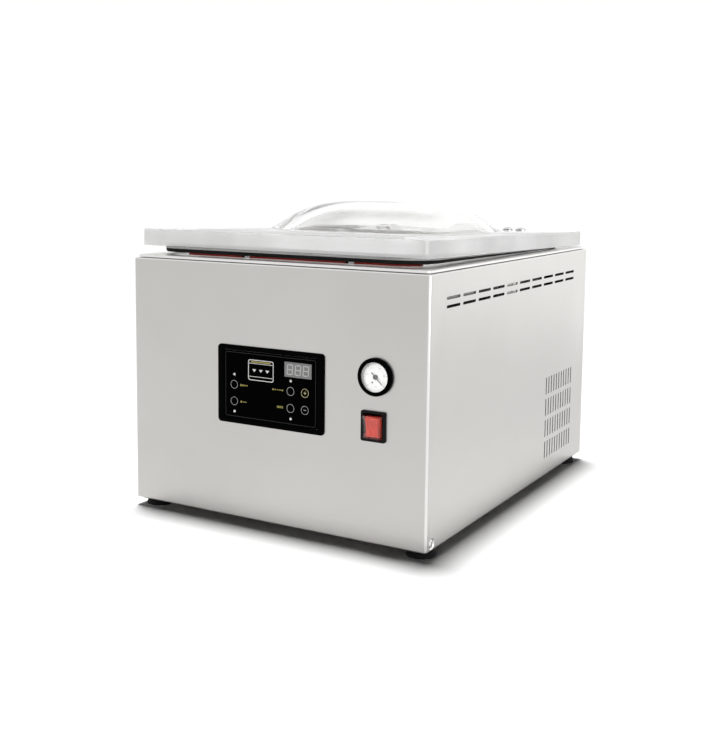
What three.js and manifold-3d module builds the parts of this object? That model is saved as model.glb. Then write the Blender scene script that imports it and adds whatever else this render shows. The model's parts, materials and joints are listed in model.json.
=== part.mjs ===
// Table-top chamber vacuum packing machine, in millimetres, +Z up.
// The front faces -Y. The origin is on the ground, under the middle of the machine.
// Inside the machine group, y runs back from the front face and z up from the body's underside.
import * as THREE from 'three';
import { mergeVertices } from 'three/addons/utils/BufferGeometryUtils.js';
import Module from 'manifold-3d';

const wasm = await Module();
wasm.setup();

// ---- Driving dimensions ----

const GAP = 0.3;
const THROUGH = 4;
const BITE = 1;
const SLIVER = 0.01;
const DEG = Math.PI / 180;

const BODY = { width: 400, depth: 508, height: 298, sheet: 1.5, bend: 4, lip: 12, foot_lip: 34 };
const SIDE = BODY.width / 2;
const FOOT = { height: 10, bottom: 17, edge: 1, top: 13, stud: 3, rise: 7, inset_x: 18, inset_y: 25 };
const SIDE_SLOT = { count: 10, length: 35, height: 3.2, pitch: 42.3, first: 40, rows: [260.5, 269.8] };
const GRILLE = {
  columns: 11, pitch: 9.85, width: 3, height: 23.4, first: 357.5, tops: [134.5, 105.5, 76.5, 47.3],
};
const REAR_VENT = { count: 12, pitch: 9, width: 3.2, height: 60, x: -150, z: 40 };
const INLET = { x: 140, z: 62, width: 46, height: 30, corner: 4, proud: 2.5 };
const INLET_BODY = { width: 32, height: 23, depth: 22, hole_x: 40, hole_z: 26 };
const SOCKET = { width: 24.5, height: 16.5, depth: 15, pin: 2, pin_height: 4.5, pin_start: 16, pin_end: 2 };
const PINS = [[-7, -2], [0, 2.5], [7, -2]];
const BASE_TOP = 3.8;

const DECK = { width: 394, front: 3, rear: 505, bottom: 298.5, top: 301.8, corner: 5 };
const TUB = { width: 330, front: 38, rear: 438, floor: 197.5, wall: 1.5, corner: 30 };
const BRACKET = {
  front: 209.7, rear: 244, outer: 190, bottom: 215, top: 292, sheet: 1.5, hole_y: 235, hole: 2.5,
};
const PORT = {
  x: -60, y: 387, hole: 9, stem: 8.5, bore: 5, flange: 20, rim: 2, cap: 17, height: 4, bottom: 172,
};
const PORT_SLOT = { bottom: 1.2, top: 3, width: 5 };

const HINGE = {
  x: 100, y: 514.5, z: 305.7, radius: 4.5, bore: 2.8, pin: 2.5, head: 3.8, cap: 2, width: 50, knuckle: 23.2,
};
const HINGE_LEAF = { length: 45, thickness: 2.7, bolt: 3.4, bolt_pitch: 20, bolt_y: -34.5 };
const HINGE_BASE = { sheet: 3, bottom: 262, top: 300 };

const LID = { width: 385, front: -506.5, rear: -9.5, under: -2.6, thickness: 20, corner: 4 };
const LID_TILT = 1.1 * DEG;
const LID_CLOSING = 0.35 * DEG;
const DOME = {
  half_x: 135, half_y: 118, y: -237.5, height: 38, hollow: 46, wall: 9, square: 5, power: 3.8, ease: 1.2,
};
const DOME_RINGS = 7;
const DOME_SIDES = 32;
const GASKET = { x: 180, front: -494.5, rear: -59.5, width: 8, depth: 4, corner: 34, reach: 8 };
const COUNTER_BAR = { length: 318, depth: 10, height: 15, y: -454.5 };
const BAR_CLIP = { x: 72, width: 11, sheet: 1.5 };

const SEAL_BAR = { length: 310, depth: 12, bottom: 255, top: 279, y: 60, groove: 6, groove_depth: 8 };
const SEAL_STRIP = { length: 304, width: 8, thickness: 0.5 };
const LIFT = {
  x: 120, rod: 4, rod_bottom: 206, cylinder: 17, top: 238, flange: 22, rim: 4, chamfer: 2, play: 1,
};

const PANEL = { x: 0.3, z: 157.9, width: 145, height: 91.6, corner: 4, front: -1.8 };
const WINDOW = { width: 128, height: 80, corner: 2.5, face: -1.4 };
const PANEL_HOLE = { width: 124, height: 76 };
const KEY = { radius: 5.2, hole: 5.5, front: -1.7, back: -0.5, stem: 2, stem_end: 4.6 };
const KEYS = [
  ['pump_button', -48.8, 157.7],
  ['stop_button', -48.8, 138.3],
  ['vacuum_time_button', 28.8, 157.7],
  ['seal_time_button', 28.8, 138.3],
  ['plus_button', 48, 157.7],
  ['minus_button', 48, 138.3],
];
const LEDS = [[-48.8, 169.5], [-48.8, 126.2], [28.8, 169.5], [28.8, 126.2]];
const LED = { radius: 1.6, hole: 1.9, front: -1.3 };
const DISPLAY = {
  x: 38.4, z: 182.3, width: 36, height: 17, front: -1.5, module_width: 34, module_height: 16,
};
const BOARD = { front: 9, back: 10.6, width: 122, height: 72, post_x: 58.3, post_z: 33, post: 2.5 };
const TACT = { size: 6, height: 3.6 };
const CHIP = { x: -12, drop: 6, width: 24, height: 10, thickness: 3 };

const GAUGE = {
  x: 137, z: 185, bezel: 20.75, sight: 16.2, case_radius: 19, case_wall: 1.5, dial: 18.3, proud: 5,
};
const GAUGE_DEPTH = { start: 0.8, rear: 26, wall: 3, spigot: 5, end: 33 };
const GAUGE_EDGE = 1;
const LENS = { front: -3.7, back: -2.6 };
const DIAL = { front: -0.3, back: 0.5, hole: 1 };
const NEEDLE = { length: 12.5, tail: 6.5, width: 1, tip: 0.4, front: -1.9, back: -1.4, angle: -45 * DEG };
const NEEDLE_HUB = { radius: 2, front: -2.1, back: -0.7, pin: 0.7, end: 3 };
const SWITCH = {
  x: 135, z: 130.8, width: 30, height: 33.6, corner: 1.5, window_x: 22.4, window_z: 27.6, proud: 3,
};
const SWITCH_BODY = { width: 26, height: 29.6, hole_x: 27, hole_z: 30.6, depth: 24, floor: 8 };
const SWITCH_TAB = { spread: 8, width: 6, thickness: 0.8, length: 8 };
const ROCKER = {
  width: 21.6, half: 12.6, end: -9.2, waist: -7.8, back: 4, back_half: 9, pivot_y: 3, tilt: 7 * DEG,
};

const MOTOR = { y: 407, z: 95, left: 12, right: 142, radius: 62, bore: 8, shaft: 7 };
const PUMP = {
  left: -106, right: 8, depth: 116, bottom: 32, top: 140, inset: 12, plinth_depth: 86,
  chamber: 31, rotor: 26, eccentric: 4.5, end: -26, play: 2,
};
const SHAFT = { left: -30, right: 172 };
const FAN = { left: 150, right: 166, hub: 14, radius: 48, blades: 7, blade: 2 };
const FAN_COVER = { radius: 58, sheet: 2, end: 184, slots: 8, slot_from: 18, slot_to: 48, slot_width: 8 };
const CRADLE = { inset: 25, half: 45 };
const TERMINAL_BOX = { left: 50, right: 105, half: 30, sunk: 8, proud: 22 };
const PUMP_INLET = { radius: 14, bore: 8, height: 8 };
const PUMP_COVER = { radius: 46, thickness: 7.7 };
const ROTOR_SLOT = { count: 3, floor: 10, width: 3 };
const FILTER = {
  x: -150, radius: 34, front: 337, rear: 462, stand_half: 26, stand_front: 357, stand_rear: 447, pipe: 10,
};
const CORE = { x: -110, y: 100, width: 90, depth: 60, bottom: 22, top: 97 };
const COIL = { width: 64, front: 52, rear: 148, bottom: 34, top: 85, corner: 8 };
const PLINTH = { width: 80, depth: 76 };
const VALVE = {
  left: 20, right: 100, front: 70, rear: 110, height: 24, coils: [35, 60, 85], coil: 10, coil_length: 34,
};
const TUBE = { radius: 3, via: [[137, 60, 183], [122, 88, 184]], end: [100.4, 90, 184] };

const ROUND = 20;
const SMOOTH_ROUND = 28;
const HOLE_ROUND = 16;
const SMALL_ROUND = 12;
const TINY_ROUND = 8;

const COLOURS = {
  steel: { color: 0xc9c8c6, roughness: 0.35, metalness: 0.9 },
  bright: { color: 0xdcdcda, roughness: 0.2, metalness: 1 },
  rubber: { color: 0x1a1a1a, roughness: 0.85, metalness: 0 },
  clear: { color: 0xf2f5f5, roughness: 0.05, metalness: 0, transparent: true, opacity: 0.35 },
  red_silicone: { color: 0xc0202a, roughness: 0.5, metalness: 0 },
  black_gloss: { color: 0x0c0c0d, roughness: 0.15, metalness: 0 },
  black_plastic: { color: 0x17171a, roughness: 0.45, metalness: 0 },
  smoked: { color: 0x8c8c8c, roughness: 0.2, metalness: 0 },
  red_plastic: { color: 0xd8352c, roughness: 0.25, metalness: 0 },
  white: { color: 0xf4f4f2, roughness: 0.5, metalness: 0 },
  board: { color: 0x1f5d38, roughness: 0.6, metalness: 0 },
  aluminium: { color: 0xb8babb, roughness: 0.45, metalness: 0.9 },
  cast: { color: 0x8f9496, roughness: 0.6, metalness: 0.7 },
  motor_grey: { color: 0x5b6166, roughness: 0.55, metalness: 0.3 },
  copper: { color: 0x9a5a34, roughness: 0.5, metalness: 0.6 },
  hose: { color: 0x6f7d86, roughness: 0.5, metalness: 0 },
};

// ---- Geometry helpers ----

function toSolid(geometry) {
  const bare = geometry.index ? geometry.toNonIndexed() : geometry.clone();
  for (const name of ['normal', 'uv', 'uv1']) bare.deleteAttribute(name);
  const merged = mergeVertices(bare, 1e-4);
  const vertProperties = new Float32Array(merged.attributes.position.array);
  const triVerts = new Uint32Array(merged.index.array);
  return new wasm.Manifold(new wasm.Mesh({ numProp: 3, vertProperties, triVerts }));
}

function toGeometry(solid) {
  const mesh = solid.getMesh();
  const geometry = new THREE.BufferGeometry();
  geometry.setAttribute('position', new THREE.BufferAttribute(new Float32Array(mesh.vertProperties), 3));
  geometry.setIndex(Array.from(mesh.triVerts));
  return geometry;
}

function join(...geometries) {
  return toGeometry(geometries.map(toSolid).reduce((whole, solid) => whole.add(solid)));
}

function cut(geometry, tools) {
  return toGeometry(tools.map(toSolid).reduce((whole, tool) => whole.subtract(tool), toSolid(geometry)));
}

function box([x0, x1], [y0, y1], [z0, z1]) {
  const geometry = new THREE.BoxGeometry(x1 - x0, y1 - y0, z1 - z0);
  return geometry.translate((x0 + x1) / 2, (y0 + y1) / 2, (z0 + z1) / 2);
}

// A cylinder along 'x', 'y' or 'z', from one place on that axis to another.
function rod(axis, radius, from, to, [a, b], sides = ROUND) {
  const geometry = new THREE.CylinderGeometry(radius, radius, to - from, sides);
  const middle = (from + to) / 2;
  if (axis === 'x') return geometry.rotateZ(Math.PI / 2).translate(middle, a, b);
  if (axis === 'y') return geometry.translate(a, middle, b);
  return geometry.rotateX(Math.PI / 2).translate(a, b, middle);
}

function extrude(shape, depth, curveSegments) {
  return new THREE.ExtrudeGeometry(shape, { depth, bevelEnabled: false, curveSegments });
}

// A shape drawn in x and y, standing from z0 to z1.
function raise(shape, [z0, z1], curveSegments = 6) {
  return extrude(shape, z1 - z0, curveSegments).translate(0, 0, z0);
}

// A shape drawn in x and z, running back from y0 to y1.
function runBack(shape, [y0, y1], curveSegments = 6) {
  return extrude(shape, y1 - y0, curveSegments).rotateX(Math.PI / 2).translate(0, y1, 0);
}

// A shape drawn in y and z, running across from x0 to x1.
function runAcross(shape, [x0, x1], curveSegments = 6) {
  const axes = new THREE.Matrix4().makeBasis(
    new THREE.Vector3(0, 1, 0), new THREE.Vector3(0, 0, 1), new THREE.Vector3(1, 0, 0));
  return extrude(shape, x1 - x0, curveSegments).applyMatrix4(axes).translate(x0, 0, 0);
}

function roundedRect([x0, x1], [y0, y1], radius) {
  const shape = new THREE.Shape();
  shape.moveTo(x0 + radius, y0);
  shape.lineTo(x1 - radius, y0);
  shape.absarc(x1 - radius, y0 + radius, radius, -Math.PI / 2, 0);
  shape.lineTo(x1, y1 - radius);
  shape.absarc(x1 - radius, y1 - radius, radius, 0, Math.PI / 2);
  shape.lineTo(x0 + radius, y1);
  shape.absarc(x0 + radius, y1 - radius, radius, Math.PI / 2, Math.PI);
  shape.lineTo(x0, y0 + radius);
  shape.absarc(x0 + radius, y0 + radius, radius, Math.PI, 1.5 * Math.PI);
  return shape;
}

function polygon(points) {
  return new THREE.Shape(points.map(([x, y]) => new THREE.Vector2(x, y)));
}

function span(centre, size) {
  return [centre - size / 2, centre + size / 2];
}

// A body of revolution about +Y. The profile of [radius, y] pairs runs from low y to high y.
function latheY(profile, sides = ROUND) {
  return new THREE.LatheGeometry(profile.map(([r, y]) => new THREE.Vector2(r, y)), sides);
}

function latheZ(profile, sides = ROUND) {
  return latheY(profile, sides).rotateX(Math.PI / 2);
}

function tube(points, radius, steps) {
  const section = new THREE.Shape().absarc(0, 0, radius, 0, 2 * Math.PI);
  const path = new THREE.CatmullRomCurve3(points.map((p) => new THREE.Vector3(...p)));
  return new THREE.ExtrudeGeometry(section, { steps, extrudePath: path, curveSegments: 4 });
}

function piece(name, colour, geometry, place = [0, 0, 0]) {
  const mesh = new THREE.Mesh(geometry, new THREE.MeshStandardMaterial(COLOURS[colour]));
  mesh.name = name;
  mesh.position.set(...place);
  return mesh;
}

const SIDES = [['left', -1], ['right', 1]];

// ---- Housing ----

// The front and both sides are one folded sheet, with lips turned in at the rear.
function wrapProfile() {
  const t = BODY.sheet;
  const r = BODY.bend;
  const inner = SIDE - t;
  const shape = new THREE.Shape();
  shape.moveTo(-SIDE + r, 0);
  shape.lineTo(SIDE - r, 0);
  shape.absarc(SIDE - r, r, r, -Math.PI / 2, 0);
  shape.lineTo(SIDE, BODY.depth);
  shape.lineTo(inner - BODY.lip, BODY.depth);
  shape.lineTo(inner - BODY.lip, BODY.depth - t);
  shape.lineTo(inner, BODY.depth - t);
  shape.lineTo(inner, r);
  shape.absarc(SIDE - r, r, r - t, 0, -Math.PI / 2, true);
  shape.lineTo(-SIDE + r, t);
  shape.absarc(-SIDE + r, r, r - t, -Math.PI / 2, -Math.PI, true);
  shape.lineTo(-inner, BODY.depth - t);
  shape.lineTo(-inner + BODY.lip, BODY.depth - t);
  shape.lineTo(-inner + BODY.lip, BODY.depth);
  shape.lineTo(-SIDE, BODY.depth);
  shape.lineTo(-SIDE, r);
  shape.absarc(-SIDE + r, r, r, Math.PI, 1.5 * Math.PI);
  return shape;
}

function lipFrame(width, [z0, z1]) {
  const edge = SIDE - BODY.sheet / 2;
  const front = BODY.sheet / 2;
  const rear = BODY.depth - BODY.sheet / 2;
  const plate = raise(roundedRect([-edge, edge], [front, rear], BODY.bend - front), [z0, z1]);
  return cut(plate, [box([-edge + width, edge - width], [front + width, rear + THROUGH], [z0 - 1, z1 + 1])]);
}

function slotTools() {
  const tools = [];
  for (const z of SIDE_SLOT.rows) {
    for (let i = 0; i < SIDE_SLOT.count; i++) {
      const y = SIDE_SLOT.first + i * SIDE_SLOT.pitch;
      const end = SIDE_SLOT.height / 2 - SLIVER;
      const shape = roundedRect([y, y + SIDE_SLOT.length], span(z, SIDE_SLOT.height), end);
      tools.push(runAcross(shape, [-SIDE - THROUGH, SIDE + THROUGH], 1));
    }
  }
  return tools;
}

function grilleTools() {
  const tools = [];
  for (const top of GRILLE.tops) {
    for (let i = 0; i < GRILLE.columns; i++) {
      const y = GRILLE.first + i * GRILLE.pitch;
      tools.push(box([-SIDE - THROUGH, SIDE + THROUGH], span(y, GRILLE.width), [top - GRILLE.height, top]));
    }
  }
  return tools;
}

function footPlaces() {
  const rows = [['front', FOOT.inset_y], ['rear', BODY.depth - FOOT.inset_y]];
  return rows.flatMap(([end, y]) => SIDES.map(([side, sign]) => (
    { name: `foot_${end}_${side}`, x: sign * (SIDE - FOOT.inset_x), y })));
}

function footHoles([z0, z1]) {
  return footPlaces().map(({ x, y }) => rod('z', FOOT.stud + GAP, z0, z1, [x, y], SMALL_ROUND));
}

function housingShell() {
  const wall = raise(wrapProfile(), [0, BODY.height], 4);
  const sheet = BODY.sheet;
  const folded = join(
    wall,
    lipFrame(BODY.lip, [BODY.height - sheet, BODY.height]),
    lipFrame(BODY.foot_lip, [0, sheet]));
  const front = [-THROUGH, sheet + THROUGH];
  return cut(folded, [
    ...slotTools(),
    ...grilleTools(),
    ...footHoles([-THROUGH, sheet + THROUGH]),
    box(span(PANEL.x, PANEL_HOLE.width), front, span(PANEL.z, PANEL_HOLE.height)),
    rod('y', GAUGE.case_radius + GAP, ...front, [GAUGE.x, GAUGE.z]),
    box(span(SWITCH.x, SWITCH_BODY.hole_x), front, span(SWITCH.z, SWITCH_BODY.hole_z)),
  ]);
}

function rearPanel() {
  const edge = SIDE - BODY.sheet - BODY.lip - GAP;
  const [y0, y1] = [BODY.depth - BODY.sheet, BODY.depth];
  const bottom = BODY.sheet + GAP;
  const top = BODY.height - BODY.sheet - GAP;
  const plate = box([-edge, edge], [y0, y1], [bottom, top]);
  const flange = box([-edge, edge], [y0 - BODY.lip, y0 + BODY.sheet / 2], [top - BODY.sheet, top]);
  const through = [y0 - BITE, y1 + BITE];
  const tools = [box(span(INLET.x, INLET_BODY.hole_x), through, span(INLET.z, INLET_BODY.hole_z))];
  for (let i = 0; i < REAR_VENT.count; i++) {
    const x = REAR_VENT.x + i * REAR_VENT.pitch;
    tools.push(box(span(x, REAR_VENT.width), through, [REAR_VENT.z, REAR_VENT.z + REAR_VENT.height]));
  }
  return cut(join(plate, flange), tools);
}

function basePlate() {
  const edge = SIDE - BODY.sheet - GAP;
  const [z0, z1] = [BODY.sheet + GAP, BASE_TOP];
  const rear = BODY.depth - BODY.sheet - GAP;
  const plate = box([-edge, edge], [BODY.sheet + BODY.bend, rear], [z0, z1]);
  return cut(plate, footHoles([z0 - BITE, z1 + BITE]));
}

function foot() {
  return latheZ([
    [0, -FOOT.height],
    [FOOT.bottom - FOOT.edge, -FOOT.height],
    [FOOT.bottom, FOOT.edge - FOOT.height],
    [FOOT.top, -GAP],
    [FOOT.stud, -GAP],
    [FOOT.stud, FOOT.rise],
    [0, FOOT.rise],
  ], HOLE_ROUND);
}

function mainsInlet() {
  const rear = BODY.depth + GAP;
  const { x, z } = INLET;
  const flange = runBack(roundedRect(span(x, INLET.width), span(z, INLET.height), INLET.corner),
    [rear, rear + INLET.proud], 3);
  const block = box(
    span(x, INLET_BODY.width), [rear - INLET_BODY.depth, rear + BITE], span(z, INLET_BODY.height));
  const socket = box(span(x, SOCKET.width), [rear - SOCKET.depth, rear + THROUGH], span(z, SOCKET.height));
  const reach = [rear - SOCKET.pin_start, rear - SOCKET.pin_end];
  const pins = PINS.map(([dx, dz]) => box(span(x + dx, SOCKET.pin), reach, span(z + dz, SOCKET.pin_height)));
  return join(cut(join(flange, block), [socket]), ...pins);
}

function housing() {
  const group = new THREE.Group();
  group.add(
    piece('housing_shell', 'steel', housingShell()),
    piece('rear_panel', 'steel', rearPanel()),
    piece('base_plate', 'steel', basePlate()),
    piece('mains_inlet', 'black_plastic', mainsInlet()));
  for (const { name, x, y } of footPlaces()) group.add(piece(name, 'rubber', foot(), [x, y, 0]));
  return group;
}

// ---- Vacuum chamber ----

function chamber() {
  const edge = DECK.width / 2;
  const half = TUB.width / 2;
  const plan = roundedRect([-edge, edge], [DECK.front, DECK.rear], DECK.corner);
  const deck = raise(plan, [DECK.bottom, DECK.top], 3);
  const outer = roundedRect([-half - TUB.wall, half + TUB.wall], [TUB.front - TUB.wall, TUB.rear + TUB.wall],
    TUB.corner + TUB.wall);
  const inner = roundedRect([-half, half], [TUB.front, TUB.rear], TUB.corner);
  const shell = join(deck, raise(outer, [TUB.floor - TUB.wall, DECK.bottom + BITE], 8));
  return cut(shell, [
    raise(inner, [TUB.floor, DECK.top + THROUGH], 8),
    rod('z', PORT.hole + GAP, TUB.floor - THROUGH, TUB.floor + BITE, [PORT.x, PORT.y], ROUND),
  ]);
}

// A bent channel that ties the tub's side to the housing, with two punched holes.
function chamberBracket() {
  const t = BRACKET.sheet;
  const root = TUB.width / 2 + TUB.wall + GAP;
  const { outer, front, rear, bottom, top, hole, hole_y } = BRACKET;
  const web = box([outer - t, outer], [front, rear], [bottom, top]);
  const shelves = [bottom, top - t].map((z) => box([root, outer - t / 2], [front, rear], [z, z + t]));
  const holes = SIDE_SLOT.rows.map((z) => (
    rod('x', hole, outer - THROUGH, outer + THROUGH, [hole_y, z], SMALL_ROUND)));
  return cut(join(web, ...shelves), holes);
}

// A flanged stem under a guard cap: air leaves through four low slots in the cap's side.
function suctionPort() {
  const base = TUB.floor + GAP;
  const { stem, bore, flange, rim, cap, height, bottom } = PORT;
  const body = latheZ([
    [0, bottom], [stem, bottom], [stem, base], [flange, base], [flange, base + rim],
    [cap, base + height], [0, base + height],
  ], HOLE_ROUND);
  const slot = [base + PORT_SLOT.bottom, base + PORT_SLOT.top];
  const reach = [-flange - BITE, flange + BITE];
  return cut(body, [
    rod('z', bore, bottom - BITE, slot[1], [0, 0], HOLE_ROUND),
    box(reach, span(0, PORT_SLOT.width), slot),
    box(span(0, PORT_SLOT.width), reach, slot),
  ]);
}

function liftCylinder() {
  const r = LIFT.cylinder;
  const base = TUB.floor + GAP;
  const bore = LIFT.rod + GAP;
  const rim = base + LIFT.rim;
  const floor = LIFT.rod_bottom - LIFT.play;
  return latheZ([
    [0, base], [LIFT.flange, base], [LIFT.flange, rim], [r, rim], [r, LIFT.top - LIFT.chamfer],
    [r - LIFT.chamfer, LIFT.top], [bore, LIFT.top], [bore, floor], [0, floor],
  ], HOLE_ROUND);
}

function sealBar() {
  const half = SEAL_BAR.length / 2;
  const body = box([-half, half], span(SEAL_BAR.y, SEAL_BAR.depth), [SEAL_BAR.bottom, SEAL_BAR.top]);
  const groove = box([-half - BITE, half + BITE], span(SEAL_BAR.y, SEAL_BAR.groove),
    [SEAL_BAR.bottom - BITE, SEAL_BAR.bottom + SEAL_BAR.groove_depth]);
  return cut(body, [groove]);
}

function chamberGroup() {
  const group = new THREE.Group();
  group.add(
    piece('chamber', 'bright', chamber()),
    piece('suction_port', 'bright', suctionPort(), [PORT.x, PORT.y, 0]),
    piece('seal_bar', 'aluminium', sealBar()));
  const half = SEAL_STRIP.length / 2;
  const strip = box([-half, half], span(SEAL_BAR.y, SEAL_STRIP.width),
    [SEAL_BAR.top + GAP, SEAL_BAR.top + GAP + SEAL_STRIP.thickness]);
  group.add(piece('seal_strip', 'copper', strip));
  for (const [side, sign] of SIDES) {
    const bracket = piece(`chamber_bracket_${side}`, 'bright', chamberBracket());
    if (sign < 0) bracket.geometry = mirrorX(bracket.geometry);
    const x = sign * LIFT.x;
    const lift = rod('z', LIFT.rod, LIFT.rod_bottom, SEAL_BAR.bottom - GAP, [x, SEAL_BAR.y], HOLE_ROUND);
    group.add(
      bracket,
      piece(`lift_cylinder_${side}`, 'aluminium', liftCylinder(), [x, SEAL_BAR.y, 0]),
      piece(`lift_rod_${side}`, 'bright', lift));
  }
  return group;
}

// The mirror image in the plane x = 0, with its faces turned to point outwards again.
function mirrorX(geometry) {
  const mirrored = geometry.clone().applyMatrix4(new THREE.Matrix4().makeScale(-1, 1, 1));
  const index = mirrored.index.array;
  for (let i = 0; i < index.length; i += 3) [index[i], index[i + 2]] = [index[i + 2], index[i]];
  return mirrored;
}

// ---- Lid, drawn about its hinge axis ----

// A dome over a superellipse: round in the middle and nearly square in plan.
function domeSolid(half_x, half_y, bottom, height) {
  const profile = [[0, bottom], [1, bottom]];
  for (let i = 0; i <= DOME_RINGS; i++) {
    const t = Math.cos((i / DOME_RINGS) * Math.PI / 2);
    profile.push([t, bottom + BITE + (height - BITE) * (1 - t ** DOME.power) ** DOME.ease]);
  }
  const geometry = latheZ(profile, DOME_SIDES);
  const position = geometry.attributes.position;
  const n = DOME.square;
  for (let i = 0; i < position.count; i++) {
    const [x, y] = [position.getX(i), position.getY(i)];
    const radius = Math.hypot(x, y) || 1;
    const stretch = ((Math.abs(x) / radius) ** n + (Math.abs(y) / radius) ** n) ** (-1 / n) || 0;
    position.setXY(i, x * stretch * half_x, y * stretch * half_y);
  }
  return geometry.translate(0, DOME.y, 0);
}

function ring(grow) {
  const half = GASKET.x + grow;
  return roundedRect([-half, half], [GASKET.front - grow, GASKET.rear + grow], GASKET.corner + grow);
}

function gasketBand(width, [z0, z1]) {
  return cut(raise(ring(width / 2), [z0, z1], 5), [raise(ring(-width / 2), [z0 - BITE, z1 + BITE], 5)]);
}

function lidPlate() {
  const half = LID.width / 2;
  const top = LID.under + LID.thickness;
  const slab = raise(roundedRect([-half, half], [LID.front, LID.rear], LID.corner), [LID.under, top], 3);
  const dome = domeSolid(DOME.half_x, DOME.half_y, top - BITE, DOME.height + BITE);
  const hollow = domeSolid(DOME.half_x - DOME.wall, DOME.half_y - DOME.wall, LID.under - BITE, DOME.hollow);
  const groove = gasketBand(GASKET.width, [LID.under - BITE, LID.under + GASKET.depth]);
  const recess = LID.under + HINGE_LEAF.thickness + GAP;
  const recesses = SIDES.map(([, sign]) => (
    box(span(sign * HINGE.x, HINGE.width + 2 * GAP), [LID.rear - HINGE_LEAF.length, LID.rear + BITE],
      [LID.under - BITE, recess])));
  const bolts = SIDES.flatMap(([, sign]) => boltHoles(sign * HINGE.x, [LID.under - BITE, top + BITE]));
  return cut(join(slab, dome), [hollow, groove, ...recesses, ...bolts]);
}

function boltHoles(x, [z0, z1]) {
  return [-0.5, 0.5].map((step) => (
    rod('z', HINGE_LEAF.bolt, z0, z1, [x + step * HINGE_LEAF.bolt_pitch, HINGE_LEAF.bolt_y], SMALL_ROUND)));
}

// The gasket hangs lowest at the front: its underside lies flat on the deck when the lid is closed.
function lidGasket() {
  const band = gasketBand(GASKET.width - 2 * GAP, [LID.under - GASKET.reach, LID.under + GASKET.depth - GAP]);
  const deck = DECK.top + GAP - HINGE.z;
  const below = box([-SIDE, SIDE], [-BODY.depth, 0], [deck - LID.thickness, deck]);
  return cut(band, [below.rotateX(LID_TILT - LID_CLOSING)]);
}

function counterBar() {
  const { length, depth, height, y } = COUNTER_BAR;
  const top = LID.under - GAP;
  return box([-length / 2, length / 2], span(y, depth), [top - height, top]);
}

// A U of sheet around the counter bar, held under the lid.
function barClip() {
  const t = BAR_CLIP.sheet;
  const half = COUNTER_BAR.depth / 2 + GAP;
  const top = LID.under - GAP;
  const bottom = top - COUNTER_BAR.height - GAP;
  const y = COUNTER_BAR.y;
  const outer = box(span(0, BAR_CLIP.width), [y - half - t, y + half + t], [bottom - t, top]);
  return cut(outer, [box(span(0, BAR_CLIP.width + BITE), [y - half, y + half], [bottom, top + BITE])]);
}

function lidHinge() {
  const leaf = box(span(0, HINGE.width), [LID.rear - HINGE_LEAF.length + GAP, LID.rear],
    [LID.under, LID.under + HINGE_LEAF.thickness]);
  const sheet = [LID.under, LID.under + HINGE_LEAF.thickness];
  const neck = box(span(0, HINGE.knuckle), [LID.rear - BITE, 0], sheet);
  const barrel = rod('x', HINGE.radius, -HINGE.knuckle / 2, HINGE.knuckle / 2, [0, 0]);
  const reach = HINGE.knuckle / 2 + BITE;
  const bolts = boltHoles(0, [LID.under - BITE, LID.under + HINGE_LEAF.thickness + BITE]);
  return cut(join(leaf, neck, barrel), [rod('x', HINGE.bore, -reach, reach, [0, 0], HOLE_ROUND), ...bolts]);
}

function hingeBase() {
  const half = HINGE.width / 2;
  const inner = HINGE.knuckle / 2 + 2 * GAP;
  const [y0, y1] = [BODY.depth + GAP, BODY.depth + GAP + HINGE_BASE.sheet];
  const plate = box([-half, half], [y0, y1], [HINGE_BASE.bottom, HINGE_BASE.top]);
  const ends = [[-half, -inner], [inner, half]];
  const tabs = ends.map((ends_x) => box(ends_x, [y0, y1], [HINGE_BASE.top - BITE, HINGE.z]));
  const knuckles = ends.map(([x0, x1]) => rod('x', HINGE.radius, x0, x1, [HINGE.y, HINGE.z]));
  const bore = rod('x', HINGE.bore, -half - BITE, half + BITE, [HINGE.y, HINGE.z], HOLE_ROUND);
  return cut(join(plate, ...tabs, ...knuckles), [bore]);
}

function hingePin() {
  const half = HINGE.width / 2;
  const { pin, head, cap } = HINGE;
  const profile = [
    [0, -half - cap], [head, -half - cap], [head, -half - GAP], [pin, -half - GAP],
    [pin, half + GAP], [head, half + GAP], [head, half + cap], [0, half + cap],
  ];
  return latheY(profile, HOLE_ROUND).rotateZ(-Math.PI / 2);
}

function lidGroup() {
  const group = new THREE.Group();
  group.position.set(0, HINGE.y, HINGE.z);
  group.rotation.x = -LID_TILT;
  group.add(
    piece('lid', 'clear', lidPlate()),
    piece('lid_gasket', 'rubber', lidGasket()),
    piece('counter_bar', 'red_silicone', counterBar()));
  for (const [side, sign] of SIDES) {
    group.add(
      piece(`bar_clip_${side}`, 'aluminium', barClip(), [sign * BAR_CLIP.x, 0, 0]),
      piece(`lid_hinge_${side}`, 'bright', lidHinge(), [sign * HINGE.x, 0, 0]));
  }
  return group;
}

function hingeGroup() {
  const group = new THREE.Group();
  for (const [side, sign] of SIDES) {
    const x = sign * HINGE.x;
    group.add(
      piece(`hinge_base_${side}`, 'bright', hingeBase(), [x, 0, 0]),
      piece(`hinge_pin_${side}`, 'bright', hingePin(), [x, HINGE.y, HINGE.z]));
  }
  return group;
}

// ---- Control panel ----

function controlFrame() {
  const outer = roundedRect(span(PANEL.x, PANEL.width), span(PANEL.z, PANEL.height), PANEL.corner);
  const window = roundedRect(span(PANEL.x, WINDOW.width), span(PANEL.z, WINDOW.height), WINDOW.corner);
  return cut(runBack(outer, [PANEL.front, -GAP], 4), [runBack(window, [PANEL.front - BITE, BITE], 3)]);
}

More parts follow.
